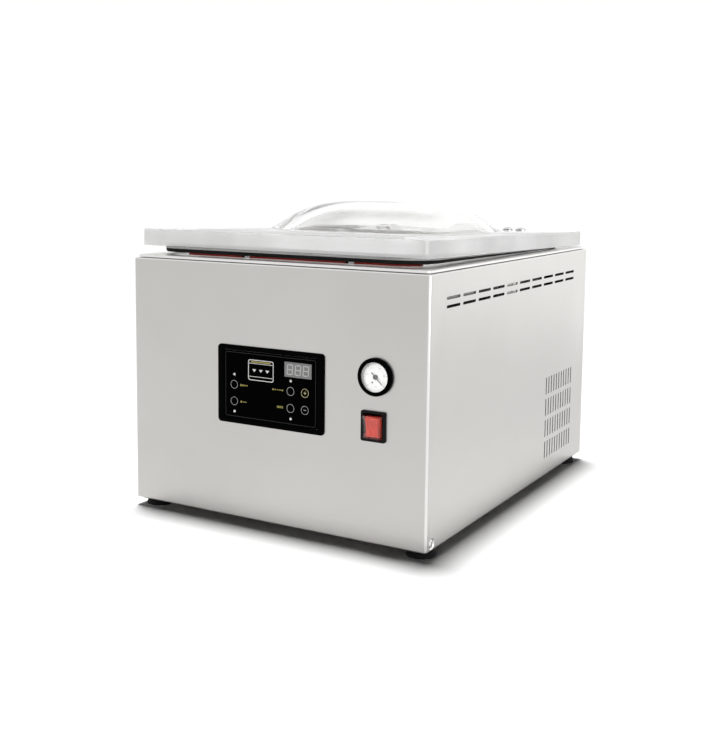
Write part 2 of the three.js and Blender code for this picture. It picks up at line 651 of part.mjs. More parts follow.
function controlFascia() {
  const width = WINDOW.width - 2 * GAP;
  const height = WINDOW.height - 2 * GAP;
  const outer = roundedRect(span(PANEL.x, width), span(PANEL.z, height), WINDOW.corner - GAP);
  const through = [WINDOW.face - BITE, BITE];
  return cut(runBack(outer, [WINDOW.face, -GAP], 3), [
    ...KEYS.map(([, x, z]) => rod('y', KEY.hole, ...through, [x, z], HOLE_ROUND)),
    ...LEDS.map((place) => rod('y', LED.hole, ...through, place, TINY_ROUND)),
    box(span(DISPLAY.x, DISPLAY.width + 2 * GAP), through, span(DISPLAY.z, DISPLAY.height + 2 * GAP)),
  ]);
}

function keyCap() {
  return latheY([
    [0, KEY.front], [KEY.radius, KEY.front], [KEY.radius, KEY.back], [KEY.stem, KEY.back],
    [KEY.stem, KEY.stem_end], [0, KEY.stem_end],
  ], HOLE_ROUND);
}

function controlBoard() {
  const board = box(span(PANEL.x, BOARD.width), [BOARD.front, BOARD.back], span(PANEL.z, BOARD.height));
  const middle = (BOARD.front + BOARD.back) / 2;
  const switches = KEYS.map(([, x, z]) => (
    box(span(x, TACT.size), [BOARD.front - TACT.height, middle], span(z, TACT.size))));
  const leds = LEDS.map((place) => rod('y', LED.radius, LED.front, middle, place, TINY_ROUND));
  const chip = box(span(CHIP.x, CHIP.width), [middle, BOARD.back + CHIP.thickness],
    span(PANEL.z - CHIP.drop, CHIP.height));
  const posts = [-1, 1].flatMap((i) => [-1, 1].map((j) => {
    const place = [PANEL.x + i * BOARD.post_x, PANEL.z + j * BOARD.post_z];
    return rod('y', BOARD.post, BODY.sheet + GAP, middle, place, TINY_ROUND);
  }));
  return join(board, chip, ...switches, ...leds, ...posts);
}

function controlGroup() {
  const group = new THREE.Group();
  const { x, z, width, height, front, module_width, module_height } = DISPLAY;
  const window = box(span(x, width), [front, BODY.sheet], span(z, height));
  const module = box(span(x, module_width), [BODY.sheet + GAP, BOARD.front - GAP], span(z, module_height));
  group.add(
    piece('control_frame', 'black_gloss', controlFrame()),
    piece('control_fascia', 'black_gloss', controlFascia()),
    piece('display_window', 'smoked', window),
    piece('display_module', 'black_plastic', module),
    piece('control_board', 'board', controlBoard()));
  for (const [name, key_x, key_z] of KEYS) {
    group.add(piece(name, 'black_plastic', keyCap(), [key_x, 0, key_z]));
  }
  return group;
}

// ---- Vacuum gauge ----

function gaugeBezel() {
  const { bezel, sight, proud, dial } = GAUGE;
  const wall = dial + GAP;
  const edge = GAUGE_EDGE;
  return latheY([
    [sight, edge - proud], [sight, edge / 2 - proud], [sight + edge / 2, -proud], [bezel - edge, -proud],
    [bezel, edge - proud], [bezel, -GAP], [wall, -GAP], [wall, edge - proud], [sight, edge - proud],
  ], SMOOTH_ROUND);
}

function gaugeCase() {
  const { start, rear, wall, spigot, end } = GAUGE_DEPTH;
  const outer = GAUGE.case_radius;
  const inner = outer - GAUGE.case_wall;
  return latheY([
    [inner, start], [outer, start], [outer, rear], [spigot, rear], [spigot, end], [0, end],
    [0, rear - wall], [inner, rear - wall], [inner, start],
  ]);
}

function gaugeDial() {
  const { front, back, hole } = DIAL;
  return latheY([[hole, front], [GAUGE.dial, front], [GAUGE.dial, back], [hole, back], [hole, front]]);
}

function gaugeNeedle() {
  const half = NEEDLE.width / 2;
  const tip = NEEDLE.tip / 2;
  const pointer = polygon([[-half, -NEEDLE.tail], [half, -NEEDLE.tail], [half, 0], [tip, NEEDLE.length],
    [-tip, NEEDLE.length], [-half, 0]]);
  const { radius, front, back, pin, end } = NEEDLE_HUB;
  const profile = [[0, front], [radius, front], [radius, back], [pin, back], [pin, end], [0, end]];
  const hub = latheY(profile, HOLE_ROUND);
  const upright = join(runBack(pointer, [NEEDLE.front, NEEDLE.back]), hub);
  return upright.rotateY(Math.PI / 2 - NEEDLE.angle);
}

function gaugeGroup() {
  const group = new THREE.Group();
  group.position.set(GAUGE.x, 0, GAUGE.z);
  const lens = rod('y', GAUGE.dial, LENS.front, LENS.back, [0, 0]);
  group.add(
    piece('gauge_bezel', 'black_gloss', gaugeBezel()),
    piece('gauge_lens', 'clear', lens),
    piece('gauge_dial', 'white', gaugeDial()),
    piece('gauge_needle', 'motor_grey', gaugeNeedle()),
    piece('gauge_case', 'black_plastic', gaugeCase()));
  return group;
}

// ---- Main switch, drawn about the middle of its bezel ----

function switchFrame() {
  const { width, height, corner, window_x, window_z, proud } = SWITCH;
  const { depth, floor } = SWITCH_BODY;
  const tab = SWITCH_TAB;
  const bezel = runBack(roundedRect(span(0, width), span(0, height), corner), [-proud, -GAP], 3);
  const block = box(span(0, SWITCH_BODY.width), [-GAP - BITE, depth], span(0, SWITCH_BODY.height));
  const cavity = box(span(0, window_x), [-proud - BITE, depth - floor], span(0, window_z));
  const tabs = [-tab.spread, 0, tab.spread].map((z) => (
    box(span(0, tab.width), [depth - BITE, depth + tab.length], span(z, tab.thickness))));
  return join(cut(join(bezel, block), [cavity]), ...tabs);
}

function rocker() {
  const { half, end, waist, width, back, back_half } = ROCKER;
  const profile = polygon([[end, -half], [back, -back_half], [back, back_half], [end, half], [waist, 0]]);
  return runAcross(profile, span(0, width));
}

function switchGroup() {
  const group = new THREE.Group();
  group.position.set(SWITCH.x, 0, SWITCH.z);
  const button = piece('switch_rocker', 'red_plastic', rocker(), [0, ROCKER.pivot_y, 0]);
  button.rotation.x = ROCKER.tilt;
  group.add(piece('switch_frame', 'black_plastic', switchFrame()), button);
  return group;
}

// ---- Pump, motor and the rest of the works ----

function motorHousing() {
  const { y, z, left, right, radius, bore } = MOTOR;
  const { sunk, proud } = TERMINAL_BOX;
  const drum = rod('x', radius, left, right, [y, z], SMOOTH_ROUND);
  const cradle = box(
    [left + CRADLE.inset, right - CRADLE.inset], span(y, 2 * CRADLE.half), [BASE_TOP + GAP, z]);
  const terminal_box = box([TERMINAL_BOX.left, TERMINAL_BOX.right], span(y, 2 * TERMINAL_BOX.half),
    [z + radius - sunk, z + radius + proud]);
  const shaft_hole = rod('x', bore, left - BITE, right + BITE, [y, z], HOLE_ROUND);
  return cut(join(drum, cradle, terminal_box), [shaft_hole]);
}

function fanCover() {
  const { y, z, right } = MOTOR;
  const { radius, sheet, end, slot_from, slot_to, slot_width } = FAN_COVER;
  const start = right + GAP;
  const bore = rod('x', radius - sheet, start - BITE, end - sheet, [y, z]);
  const shell = cut(rod('x', radius, start, end, [y, z]), [bore]);
  const slots = [];
  for (let i = 0; i < FAN_COVER.slots; i++) {
    const slot = box([end - THROUGH, end + THROUGH], [slot_from, slot_to], span(0, slot_width));
    slots.push(slot.rotateX((i / FAN_COVER.slots) * 2 * Math.PI).translate(0, y, z));
  }
  return cut(shell, slots);
}

function coolingFan() {
  const { y, z } = MOTOR;
  const blades = [];
  for (let i = 0; i < FAN.blades; i++) {
    const blade = box([FAN.left, FAN.right], [FAN.hub - BITE, FAN.radius], span(0, FAN.blade));
    blades.push(blade.rotateX((i / FAN.blades) * 2 * Math.PI));
  }
  const hub = rod('x', FAN.hub, FAN.left, FAN.right, [0, 0]);
  const bore = rod('x', MOTOR.shaft + GAP, FAN.left - BITE, FAN.right + BITE, [0, 0], HOLE_ROUND);
  return cut(join(hub, ...blades), [bore]).translate(0, y, z);
}

function pumpBody() {
  const { left, right, depth, bottom, top, eccentric } = PUMP;
  const { y, z } = MOTOR;
  const block = box([left, right], span(y, depth), [bottom, top]);
  const plinth = box([left + PUMP.inset, right - PUMP.inset], span(y, PUMP.plinth_depth),
    [BASE_TOP + GAP, bottom + BITE]);
  const spout = top + PUMP_INLET.height;
  const inlet = rod('z', PUMP_INLET.radius, top - BITE, spout, [PORT.x, PORT.y], HOLE_ROUND);
  return cut(join(block, plinth, inlet), [
    rod('x', PUMP.chamber, left - BITE, PUMP.end, [y, z + eccentric]),
    rod('x', MOTOR.bore, PUMP.end - BITE, right + BITE, [y, z], HOLE_ROUND),
    rod('z', PUMP_INLET.bore, MOTOR.z + PUMP.chamber, spout + BITE, [PORT.x, PORT.y], HOLE_ROUND),
  ]);
}

function pumpRotor() {
  const { y, z } = MOTOR;
  const drum = rod('x', PUMP.rotor, PUMP.left + PUMP.play, SHAFT.left - GAP, [y, z]);
  const slots = [];
  for (let i = 0; i < ROTOR_SLOT.count; i++) {
    const reach = [ROTOR_SLOT.floor, PUMP.rotor + BITE];
    const slot = box([PUMP.left, SHAFT.left], reach, span(0, ROTOR_SLOT.width));
    slots.push(slot.rotateX((i / ROTOR_SLOT.count) * 2 * Math.PI).translate(0, y, z));
  }
  return cut(drum, slots);
}

function exhaustFilter() {
  const { x, radius, front, rear, stand_half, stand_front, stand_rear, pipe } = FILTER;
  const { z } = MOTOR;
  const drum = rod('y', radius, front, rear, [x, z], SMOOTH_ROUND);
  const stand = box([x - stand_half, x + stand_half], [stand_front, stand_rear], [BASE_TOP + GAP, z]);
  const outlet = rod('y', pipe, rear - BITE, BODY.depth - BODY.sheet - GAP, [x, z], HOLE_ROUND);
  return join(drum, stand, outlet);
}

function transformer() {
  const core = box(span(CORE.x, CORE.width), span(CORE.y, CORE.depth), [CORE.bottom, CORE.top]);
  const winding = roundedRect(span(CORE.x, COIL.width), [COIL.bottom, COIL.top], COIL.corner);
  const plinth = box(
    span(CORE.x, PLINTH.width), span(CORE.y, PLINTH.depth), [BASE_TOP + GAP, CORE.bottom + BITE]);
  return join(core, runBack(winding, [COIL.front, COIL.rear], 3), plinth);
}

function airValve() {
  const top = TUB.floor - TUB.wall - GAP;
  const { left, right, front, rear, height, coil, coil_length } = VALVE;
  const block = box([left, right], [front, rear], [top - height, top]);
  const coils = VALVE.coils.map((x) => (
    rod('z', coil, top - height - coil_length, top - height + BITE, [x, (front + rear) / 2], HOLE_ROUND)));
  return join(block, ...coils);
}

function suctionHose() {
  const { x, y, bottom } = PORT;
  const [z0, z1] = [PUMP.top + PUMP_INLET.height + GAP, bottom - GAP];
  return rod('z', FILTER.pipe, z0, z1, [x, y], SMALL_ROUND);
}

function gaugeTube() {
  const start = [GAUGE.x, GAUGE_DEPTH.end + GAP, GAUGE.z];
  return tube([start, ...TUBE.via, TUBE.end], TUBE.radius, 12);
}

function worksGroup() {
  const group = new THREE.Group();
  const { y, z } = MOTOR;
  const cover = [PUMP.left - GAP - PUMP_COVER.thickness, PUMP.left - GAP];
  const plate = rod('x', PUMP_COVER.radius, ...cover, [y, z + PUMP.eccentric], SMOOTH_ROUND);
  group.add(
    piece('motor_housing', 'motor_grey', motorHousing()),
    piece('fan_cover', 'black_plastic', fanCover()),
    piece('cooling_fan', 'black_plastic', coolingFan()),
    piece('motor_shaft', 'bright', rod('x', MOTOR.shaft, SHAFT.left, SHAFT.right, [y, z], HOLE_ROUND)),
    piece('pump_body', 'cast', pumpBody()),
    piece('pump_cover', 'aluminium', plate),
    piece('pump_rotor', 'bright', pumpRotor()),
    piece('exhaust_filter', 'cast', exhaustFilter()),
    piece('transformer', 'copper', transformer()),
    piece('air_valve', 'aluminium', airValve()),
    piece('suction_hose', 'hose', suctionHose()),
    piece('gauge_tube', 'hose', gaugeTube()));
  return group;
}

// ---- The whole machine, centred over its origin ----

const rocker_swing = ROCKER.end * Math.cos(ROCKER.tilt) - ROCKER.half * Math.sin(ROCKER.tilt);
const rocker_front = ROCKER.pivot_y + rocker_swing;
const hinge_rear = HINGE.y + HINGE.radius;

const machine = new THREE.Group();
machine.position.set(0, -(rocker_front + hinge_rear) / 2, FOOT.height);
machine.add(
  housing(), chamberGroup(), lidGroup(), hingeGroup(), controlGroup(), gaugeGroup(), switchGroup(),
  worksGroup());

const vacuum_packer = new THREE.Group();
vacuum_packer.add(machine);

export default vacuum_packer;
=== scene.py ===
"""The looks of a table-top vacuum packing machine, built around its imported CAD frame.

Everything is in metres, +Z up, with the front facing -Y. Lengths in the code are in millimetres and
pass through MM. Places are worked out from the boxes of the CAD nodes.
"""

import json
from math import atan2, copysign, cos, hypot, pi, radians, sin, sqrt, tan

import bmesh
import bpy
from mathutils import Matrix, Vector


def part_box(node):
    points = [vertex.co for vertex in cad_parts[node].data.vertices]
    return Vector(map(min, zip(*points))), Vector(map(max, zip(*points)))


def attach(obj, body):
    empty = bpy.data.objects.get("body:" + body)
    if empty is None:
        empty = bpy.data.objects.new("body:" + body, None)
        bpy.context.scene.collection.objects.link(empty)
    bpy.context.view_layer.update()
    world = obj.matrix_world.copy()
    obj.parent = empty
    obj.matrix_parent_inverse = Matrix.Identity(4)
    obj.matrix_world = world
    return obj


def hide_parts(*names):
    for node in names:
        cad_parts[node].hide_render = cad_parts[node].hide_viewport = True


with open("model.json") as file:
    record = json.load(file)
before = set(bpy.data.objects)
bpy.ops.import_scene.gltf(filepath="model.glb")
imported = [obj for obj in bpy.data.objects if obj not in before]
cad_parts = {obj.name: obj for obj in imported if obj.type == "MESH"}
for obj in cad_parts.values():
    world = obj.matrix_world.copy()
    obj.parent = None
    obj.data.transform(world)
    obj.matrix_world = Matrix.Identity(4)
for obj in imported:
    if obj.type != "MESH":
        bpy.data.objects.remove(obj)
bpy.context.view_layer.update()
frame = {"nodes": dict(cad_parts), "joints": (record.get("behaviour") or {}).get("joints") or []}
MM = 0.001
SIDES = (("left", -1), ("right", 1))

# ---- Places read from the frame, in millimetres ----


def box_mm(node):
    low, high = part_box(node)
    return low / MM, high / MM


def centre_mm(node):
    return spread_mm(node)[2]


def spread_mm(node):
    """A node's lowest corner, highest corner, middle and half size."""
    low, high = box_mm(node)
    return low, high, (low + high) / 2, (high - low) / 2


def joint_place(name):
    joint = next(j for j in frame["joints"] if j["name"] == name)
    return Vector(joint["pos_m"]) / MM


SHELL_LOW, SHELL_HIGH = box_mm("housing_shell")
FACE = SHELL_LOW.y
REAR = SHELL_HIGH.y
UNDER = SHELL_LOW.z
SHELL_TOP = SHELL_HIGH.z
SIDE = SHELL_HIGH.x
HINGE = joint_place("lid_hinge")
LID_TILT = radians(1.1)
GASKET_SLOPE = radians(0.75)

# ---- Camera ----

CAMERA = {
    "lens": 52.77, "sensor": 36.0, "shift_y": -0.1,
    "right": 683.8, "ahead": 996.0, "up": 397.2,
    "yaw": 29.73, "pitch": 6.19, "roll": 0.60,
    "nearest": 0.05, "farthest": 50.0,
}


def make_camera():
    data = bpy.data.cameras.new("camera")
    camera = bpy.data.objects.new("camera", data)
    bpy.context.scene.collection.objects.link(camera)
    data.lens = CAMERA["lens"]
    data.sensor_width = CAMERA["sensor"]
    data.shift_y = CAMERA["shift_y"]
    yaw, pitch, roll = (radians(CAMERA[name]) for name in ("yaw", "pitch", "roll"))
    turn = Matrix.Rotation(yaw, 4, "Z") @ Matrix.Rotation(pi / 2 - pitch, 4, "X")
    place = Vector((CAMERA["right"], FACE - CAMERA["ahead"], UNDER + CAMERA["up"])) * MM
    camera.matrix_world = Matrix.Translation(place) @ turn @ Matrix.Rotation(roll, 4, "Z")
    data.clip_start = CAMERA["nearest"]
    data.clip_end = CAMERA["farthest"]
    bpy.context.scene.camera = camera


# ---- Materials ----


def new_material(name, color, roughness, metallic=0.0, specular=0.5):
    material = bpy.data.materials.new(name)
    material.use_nodes = True
    shader = material.node_tree.nodes["Principled BSDF"]
    shader.inputs["Specular IOR Level"].default_value = specular
    shader.inputs["Base Color"].default_value = (*color, 1.0)
    shader.inputs["Roughness"].default_value = roughness
    shader.inputs["Metallic"].default_value = metallic
    material.diffuse_color = (*color, 1.0)
    return material, material.node_tree, shader


def add_noise(tree, scale, stretch=(1, 1, 1), detail=4.0, roughness=0.6):
    """A noise in object space, finer along the axes that stretch makes larger."""
    place = tree.nodes.new("ShaderNodeTexCoord")
    mapping = tree.nodes.new("ShaderNodeMapping")
    noise = tree.nodes.new("ShaderNodeTexNoise")
    mapping.inputs["Scale"].default_value = stretch
    noise.inputs["Scale"].default_value = scale
    noise.inputs["Detail"].default_value = detail
    noise.inputs["Roughness"].default_value = roughness
    tree.links.new(place.outputs["Object"], mapping.inputs["Vector"])
    tree.links.new(mapping.outputs["Vector"], noise.inputs["Vector"])
    return noise.outputs["Fac"]


def add_range(tree, factor, low, high, start=0.0, end=1.0):
    span = tree.nodes.new("ShaderNodeMapRange")
    span.inputs["From Min"].default_value = start
    span.inputs["From Max"].default_value = end
    span.inputs["To Min"].default_value = low
    span.inputs["To Max"].default_value = high
    tree.links.new(factor, span.inputs["Value"])
    return span.outputs["Result"]


def vary_color(tree, shader, factor, color, spread):
    """The base colour goes from darker to lighter by spread, over the middle of the noise."""
    ramp = tree.nodes.new("ShaderNodeValToRGB")
    for element, place, share in zip(ramp.color_ramp.elements, (0.3, 0.7), (1 - spread, 1 + spread)):
        element.position = place
        element.color = (*(min(1.0, c * share) for c in color), 1.0)
    tree.links.new(factor, ramp.inputs["Fac"])
    tree.links.new(ramp.outputs["Color"], shader.inputs["Base Color"])


def vary_roughness(tree, shader, factor, low, high):
    tree.links.new(add_range(tree, factor, low, high), shader.inputs["Roughness"])


def add_bump(tree, shader, factor, strength, distance):
    bump = tree.nodes.new("ShaderNodeBump")
    bump.inputs["Strength"].default_value = strength
    bump.inputs["Distance"].default_value = distance
    tree.links.new(factor, bump.inputs["Height"])
    tree.links.new(bump.outputs["Normal"], shader.inputs["Normal"])


def brushed_steel(name, color, roughness, grain=(2, 2, 400)):
    """Steel with a brushed grain that runs across the fine axis of grain."""
    material, tree, shader = new_material(name, color, roughness, 1.0)
    lines = add_noise(tree, 4.0, grain, detail=6.0, roughness=0.7)
    clouds = add_noise(tree, 6.0, detail=2.0)
    vary_color(tree, shader, clouds, color, 0.025)
    vary_roughness(tree, shader, lines, roughness - 0.06, roughness + 0.08)
    add_bump(tree, shader, lines, 0.05, 0.0001)
    return material


def polished(name, color, roughness):
    """Smooth metal with faint handling marks."""
    material, tree, shader = new_material(name, color, roughness, 1.0)
    marks = add_noise(tree, 60.0, detail=6.0)
    vary_roughness(tree, shader, marks, roughness * 0.7, roughness * 1.4)
    add_bump(tree, shader, marks, 0.03, 0.0001)
    return material


def moulded(name, color, roughness, grain=900.0, strength=0.08, spread=0.06, specular=0.5):
    """Plastic or rubber with the fine grain of its mould."""
    material, tree, shader = new_material(name, color, roughness, specular=specular)
    fine = add_noise(tree, grain, detail=3.0)
    broad = add_noise(tree, 12.0, detail=3.0)
    vary_color(tree, shader, broad, color, spread)
    vary_roughness(tree, shader, broad, roughness * 0.85, min(1.0, roughness * 1.15))
    add_bump(tree, shader, fine, strength, 0.0002)
    return material


def clear(name, color, ior, roughness, grazing=1.0):
    """See-through acrylic or glass with faint marks; where grazing is under 1 it is whiter and less see-through
    seen edge-on, a painted sheen.
    """
    material, tree, shader = new_material(name, color, roughness)
    shader.inputs["Transmission Weight"].default_value = 1.0
    shader.inputs["IOR"].default_value = ior
    if grazing < 1.0:
        # Whiter and less see-through towards grazing views: a painted sheen.
        facing = tree.nodes.new("ShaderNodeLayerWeight").outputs["Facing"]
        painted_sheen = add_range(tree, facing, 1.0, grazing, 0.45, 0.95)
        tree.links.new(painted_sheen, shader.inputs["Transmission Weight"])
    marks = add_noise(tree, 25.0, (1, 4, 1), detail=5.0)
    vary_roughness(tree, shader, marks, roughness, roughness + 0.02)
    return material


def ribbed_rubber(name, color, roughness):
    """Grey rubber with fine ribs that run along it."""
    material, tree, shader = new_material(name, color, roughness, specular=0.2)
    ribs = add_noise(tree, 4.0, (3, 3, 260), detail=3.0)
    vary_color(tree, shader, ribs, color, 0.5)
    add_bump(tree, shader, ribs, 0.5, 0.0003)
    return material


def sawn(name, color, roughness):
    """The milky sawn edge of an acrylic plate, with streaks along the saw's travel."""
    material, tree, shader = new_material(name, color, roughness)
    shader.inputs["Transmission Weight"].default_value = 0.3
    shader.inputs["IOR"].default_value = 1.32
    streaks = add_noise(tree, 3.0, (2, 2, 130), detail=5.0, roughness=0.7)
    clouds = add_noise(tree, 9.0, (1, 1, 0.2), detail=3.0)
    vary_color(tree, shader, clouds, color, 0.16)
    vary_roughness(tree, shader, streaks, roughness - 0.1, roughness + 0.2)
    add_bump(tree, shader, streaks, 0.3, 0.0002)
    return material


def translucent(name, color, roughness):
    """Coloured plastic that lets some light into itself."""
    material, tree, shader = new_material(name, color, roughness)
    shader.inputs["Transmission Weight"].default_value = 0.25
    shader.inputs["Subsurface Weight"].default_value = 0.25
    shader.inputs["Subsurface Radius"].default_value = (0.004, 0.001, 0.001)
    vary_roughness(tree, shader, add_noise(tree, 300.0), 0.12, 0.24)
    return material


def inked(name, color):
    material, tree, shader = new_material(name, color, 0.45)
    speckle = add_noise(tree, 700.0, detail=2.0)
    vary_color(tree, shader, speckle, color, 0.04)
    return material


def make_materials():
    near_black = (0.001, 0.001, 0.0011)
    inks = {
        "digit": (0.50, 0.50, 0.49), "white_ink": (0.80, 0.80, 0.78), "ring_ink": (0.40, 0.40, 0.39),
        "line_ink": (0.022, 0.022, 0.022), "grey_ink": (0.20, 0.20, 0.20),
        "yellow_ink": (0.36, 0.31, 0.08), "key_yellow": (0.60, 0.56, 0.30),
    }
    made = {name: inked(name, color) for name, color in inks.items()}
    made.update({
        "sheet": brushed_steel("steel_sheet", (0.53, 0.521, 0.504), 0.33),
        # A brighter steel for the outsides of the wrap's bends: a painted highlight.
        "bend": brushed_steel("steel_bend_highlight", (0.74, 0.735, 0.72), 0.28),
        "deck": brushed_steel("steel_deck", (0.74, 0.735, 0.725), 0.38, grain=(2, 60, 60)),
        "bright": polished("bright_steel", (0.66, 0.66, 0.655), 0.18),
        "aluminium": polished("satin_aluminium", (0.72, 0.73, 0.735), 0.34),
        "cast": polished("cast_aluminium", (0.55, 0.56, 0.57), 0.5),
        # The lid's acrylic is whiter seen edge-on: a painted sheen.
        "acrylic": clear("clear_acrylic", (0.99, 0.99, 0.985), 1.36, 0.0, 0.68),
        "acrylic_edge": sawn("acrylic_edge", (0.98, 0.975, 0.965), 0.35),
        "glass": clear("gauge_glass", (1.0, 1.0, 1.0), 1.5, 0.0),
        "boot": clear("clear_boot", (1.0, 0.97, 0.95), 1.42, 0.08),
        "rocker": translucent("red_translucent", (0.98, 0.11, 0.07), 0.25),
        "rubber": moulded("black_rubber", (0.008, 0.008, 0.0085), 0.75, strength=0.15, specular=0.12),
        # The bar's own red, darkened with painted shade for the shade under the lid.
        "silicone": moulded("red_silicone", (0.20, 0.02, 0.014), 0.5, grain=400.0, specular=0.2),
        "web": ribbed_rubber("grey_rubber_web", (0.30, 0.30, 0.295), 0.6),
        "gloss": moulded("black_gloss", near_black, 0.12, strength=0.02, specular=0.01),
        "fascia": moulded("black_fascia", near_black, 0.3, strength=0.03, specular=0.004),
        "plastic": moulded("black_plastic", (0.005, 0.005, 0.0055), 0.38, specular=0.1),
        "display": moulded("display_grey", (0.22, 0.22, 0.22), 0.25, strength=0.02),
        "lamp": moulded("lamp_white", (0.78, 0.78, 0.74), 0.3, strength=0.02),
        "dial": moulded("dial_white", (0.86, 0.86, 0.84), 0.5, strength=0.02, spread=0.015),
        "needle": moulded("needle_grey", (0.07, 0.07, 0.075), 0.4, strength=0.02),
        "board": moulded("circuit_green", (0.02, 0.16, 0.07), 0.4),
        "motor": moulded("motor_enamel", (0.09, 0.11, 0.13), 0.45, grain=200.0, strength=0.3),
        "iron": moulded("transformer_varnish", (0.16, 0.08, 0.04), 0.4, grain=120.0, strength=0.4),
        "hose": moulded("tube_blue_grey", (0.18, 0.24, 0.30), 0.35),
        "tape": moulded("tape_tan", (0.42, 0.25, 0.12), 0.55, grain=300.0, strength=0.3),
        "floor": moulded("floor_white", (0.90, 0.90, 0.90), 0.9, grain=8.0, strength=0.0, spread=0.004),
    })
    return made


MATERIALS = make_materials()

# ---- Mesh helpers ----

ROUND_EDGES = 40.0
SMALLEST_CORNER = 0.05


def shift(x=0.0, y=0.0, z=0.0):
    """A move by a distance in millimetres."""
    return Matrix.Translation(Vector((x, y, z)) * MM)


def link(name, mesh, material=None):
    piece = bpy.data.objects.new(name, mesh)
    bpy.context.scene.collection.objects.link(piece)
    if material:
        mesh.materials.clear()
        mesh.materials.append(MATERIALS[material])
    return piece


def smooth(mesh, angle=32.0):
    for polygon in mesh.polygons:
        polygon.use_smooth = True
    mesh.set_sharp_from_angle(angle=radians(angle))


def solid(name, points, faces, material, angle=32.0, turn=None):
    """A closed mesh from points in millimetres."""
    mesh = bpy.data.meshes.new(name)
    mesh.from_pydata([Vector(p) * MM for p in points], [], faces)
    work = bmesh.new()
    work.from_mesh(mesh)
    bmesh.ops.remove_doubles(work, verts=work.verts, dist=1e-7)
    bmesh.ops.dissolve_degenerate(work, edges=work.edges, dist=1e-7)
    bmesh.ops.recalc_face_normals(work, faces=work.faces)
    work.to_mesh(mesh)
    work.free()
    if turn:
        mesh.transform(turn)
    smooth(mesh, angle)
    return link(name, mesh, material)


def loft_faces(rows, count, start=True, wrap=False, closed=True):
    """Faces between rows of points. closed joins each row's ends, wrap joins the last row to the first."""
    faces = []
    for row in range(rows if wrap else rows - 1):
        after = (row + 1) % rows
        for i in range(count if closed else count - 1):
            j = (i + 1) % count
            faces.append((row * count + i, row * count + j, after * count + j, after * count + i))
    if start and not wrap:
        faces.append(tuple(range(count - 1, -1, -1)))
    if not wrap:
        faces.append(tuple((rows - 1) * count + i for i in range(count)))
    return faces


def loft(name, loops, material, angle=32.0, turn=None, start=True, wrap=False):
    """A skin over loops of points. start closes its first end, wrap joins its two ends."""
    points = [p for loop in loops for p in loop]
    faces = loft_faces(len(loops), len(loops[0]), start, wrap)
    return solid(name, points, faces, material, angle, turn)


def placed(place, axis="z"):
    """Turns a shape made about +Z so that it stands along an axis, at a place in millimetres."""
    turns = {"z": (0, "X"), "-z": (180, "X"), "x": (90, "Y"), "y": (-90, "X"), "-y": (90, "X")}
    degrees, about = turns[axis]
    return shift(*place) @ Matrix.Rotation(radians(degrees), 4, about)


def front_turn(x, z, y=0.0):
    """Lays a flat shape made in x and y, with +Z towards the viewer, against the front."""
    return shift(x, y, z) @ Matrix.Rotation(pi / 2, 4, "X")


def circle(radius, sides, centre=(0.0, 0.0)):
    turns = [2 * pi * i / sides for i in range(sides)]
    return [(centre[0] + radius * cos(a), centre[1] + radius * sin(a)) for a in turns]


def level(outline, z):
    return [(x, y, z) for x, y in outline]


def lathe(name, profile, material, place=(0, 0, 0), axis="z", sides=48, turn=None):
    """A body of revolution from a profile of (radius, height) pairs in millimetres."""
    loops = [level(circle(radius, sides), height) for radius, height in profile]
    closed = profile[0] == profile[-1]
    if closed:
        loops.pop()
    whole_turn = (turn or Matrix.Identity(4)) @ placed(place, axis)
    return loft(name, loops, material, turn=whole_turn, wrap=closed)


def drill(radius, low, high, place, axis="z", sides=24):
    """A cylinder that cuts a round hole."""
    return lathe("hole", [(radius, low), (radius, high)], None, place, axis, sides)


def quarter(steps):
    """The steps of a quarter turn, as pairs of 1 - sine and 1 - cosine."""
    turns = [pi / 2 * i / steps for i in range(steps + 1)]
    return [(1 - sin(a), 1 - cos(a)) for a in turns]


def rounded_profile(points, radius, steps=2):
    """The inner corners of a profile, each replaced by a small curve of about that radius."""
    made = [points[0]]
    for before, corner, after in zip(points, points[1:], points[2:]):
        b, c, a = Vector(before), Vector(corner), Vector(after)
        reach_b = min(radius, (b - c).length * 0.45)
        reach_a = min(radius, (a - c).length * 0.45)
        start = c + (b - c).normalized() * reach_b
        end = c + (a - c).normalized() * reach_a
        for i in range(steps + 1):
            t = i / steps
            made.append(tuple((1 - t) ** 2 * start + 2 * t * (1 - t) * c + t ** 2 * end))
    made.append(points[-1])
    return made


def rounded_rect(half_x, half_y, radius, steps=6, centre=(0, 0)):
    """Counter-clockwise points of a rounded rectangle."""
    points = []
    for corner, (sx, sy) in enumerate(((1, 1), (-1, 1), (-1, -1), (1, -1))):
        for i in range(steps + 1):
            a = radians(corner * 90 + 90 * i / steps)
            points.append((
                centre[0] + sx * (half_x - radius) + radius * cos(a),
                centre[1] + sy * (half_y - radius) + radius * sin(a)))
    return points


def oblong(x0, x1, y0, y1):
    """The corners of a plain rectangle."""
    left, right = sorted((x0, x1))
    return [(left, y0), (right, y0), (right, y1), (left, y1)]


def rect_level(half_x, half_y, radius, inset, z, steps):
    """A rounded rectangle, drawn in by inset all round, at a height."""
    corner = max(radius - inset, SMALLEST_CORNER)
    return level(rounded_rect(half_x - inset, half_y - inset, corner, steps), z)


def bevelled_plate(name, size, low, high, material, edge=0.6, steps=6, turn=None):
    """A plate of size (half_x, half_y, radius) with rounded edges, standing along +Z."""
    section = [(edge * s, low + edge * c) for s, c in quarter(3)]
    section += [(edge * c, high - edge * s) for s, c in quarter(3)]
    loops = [rect_level(*size, inset, z, steps) for inset, z in section]
    return loft(name, loops, material, ROUND_EDGES, turn)


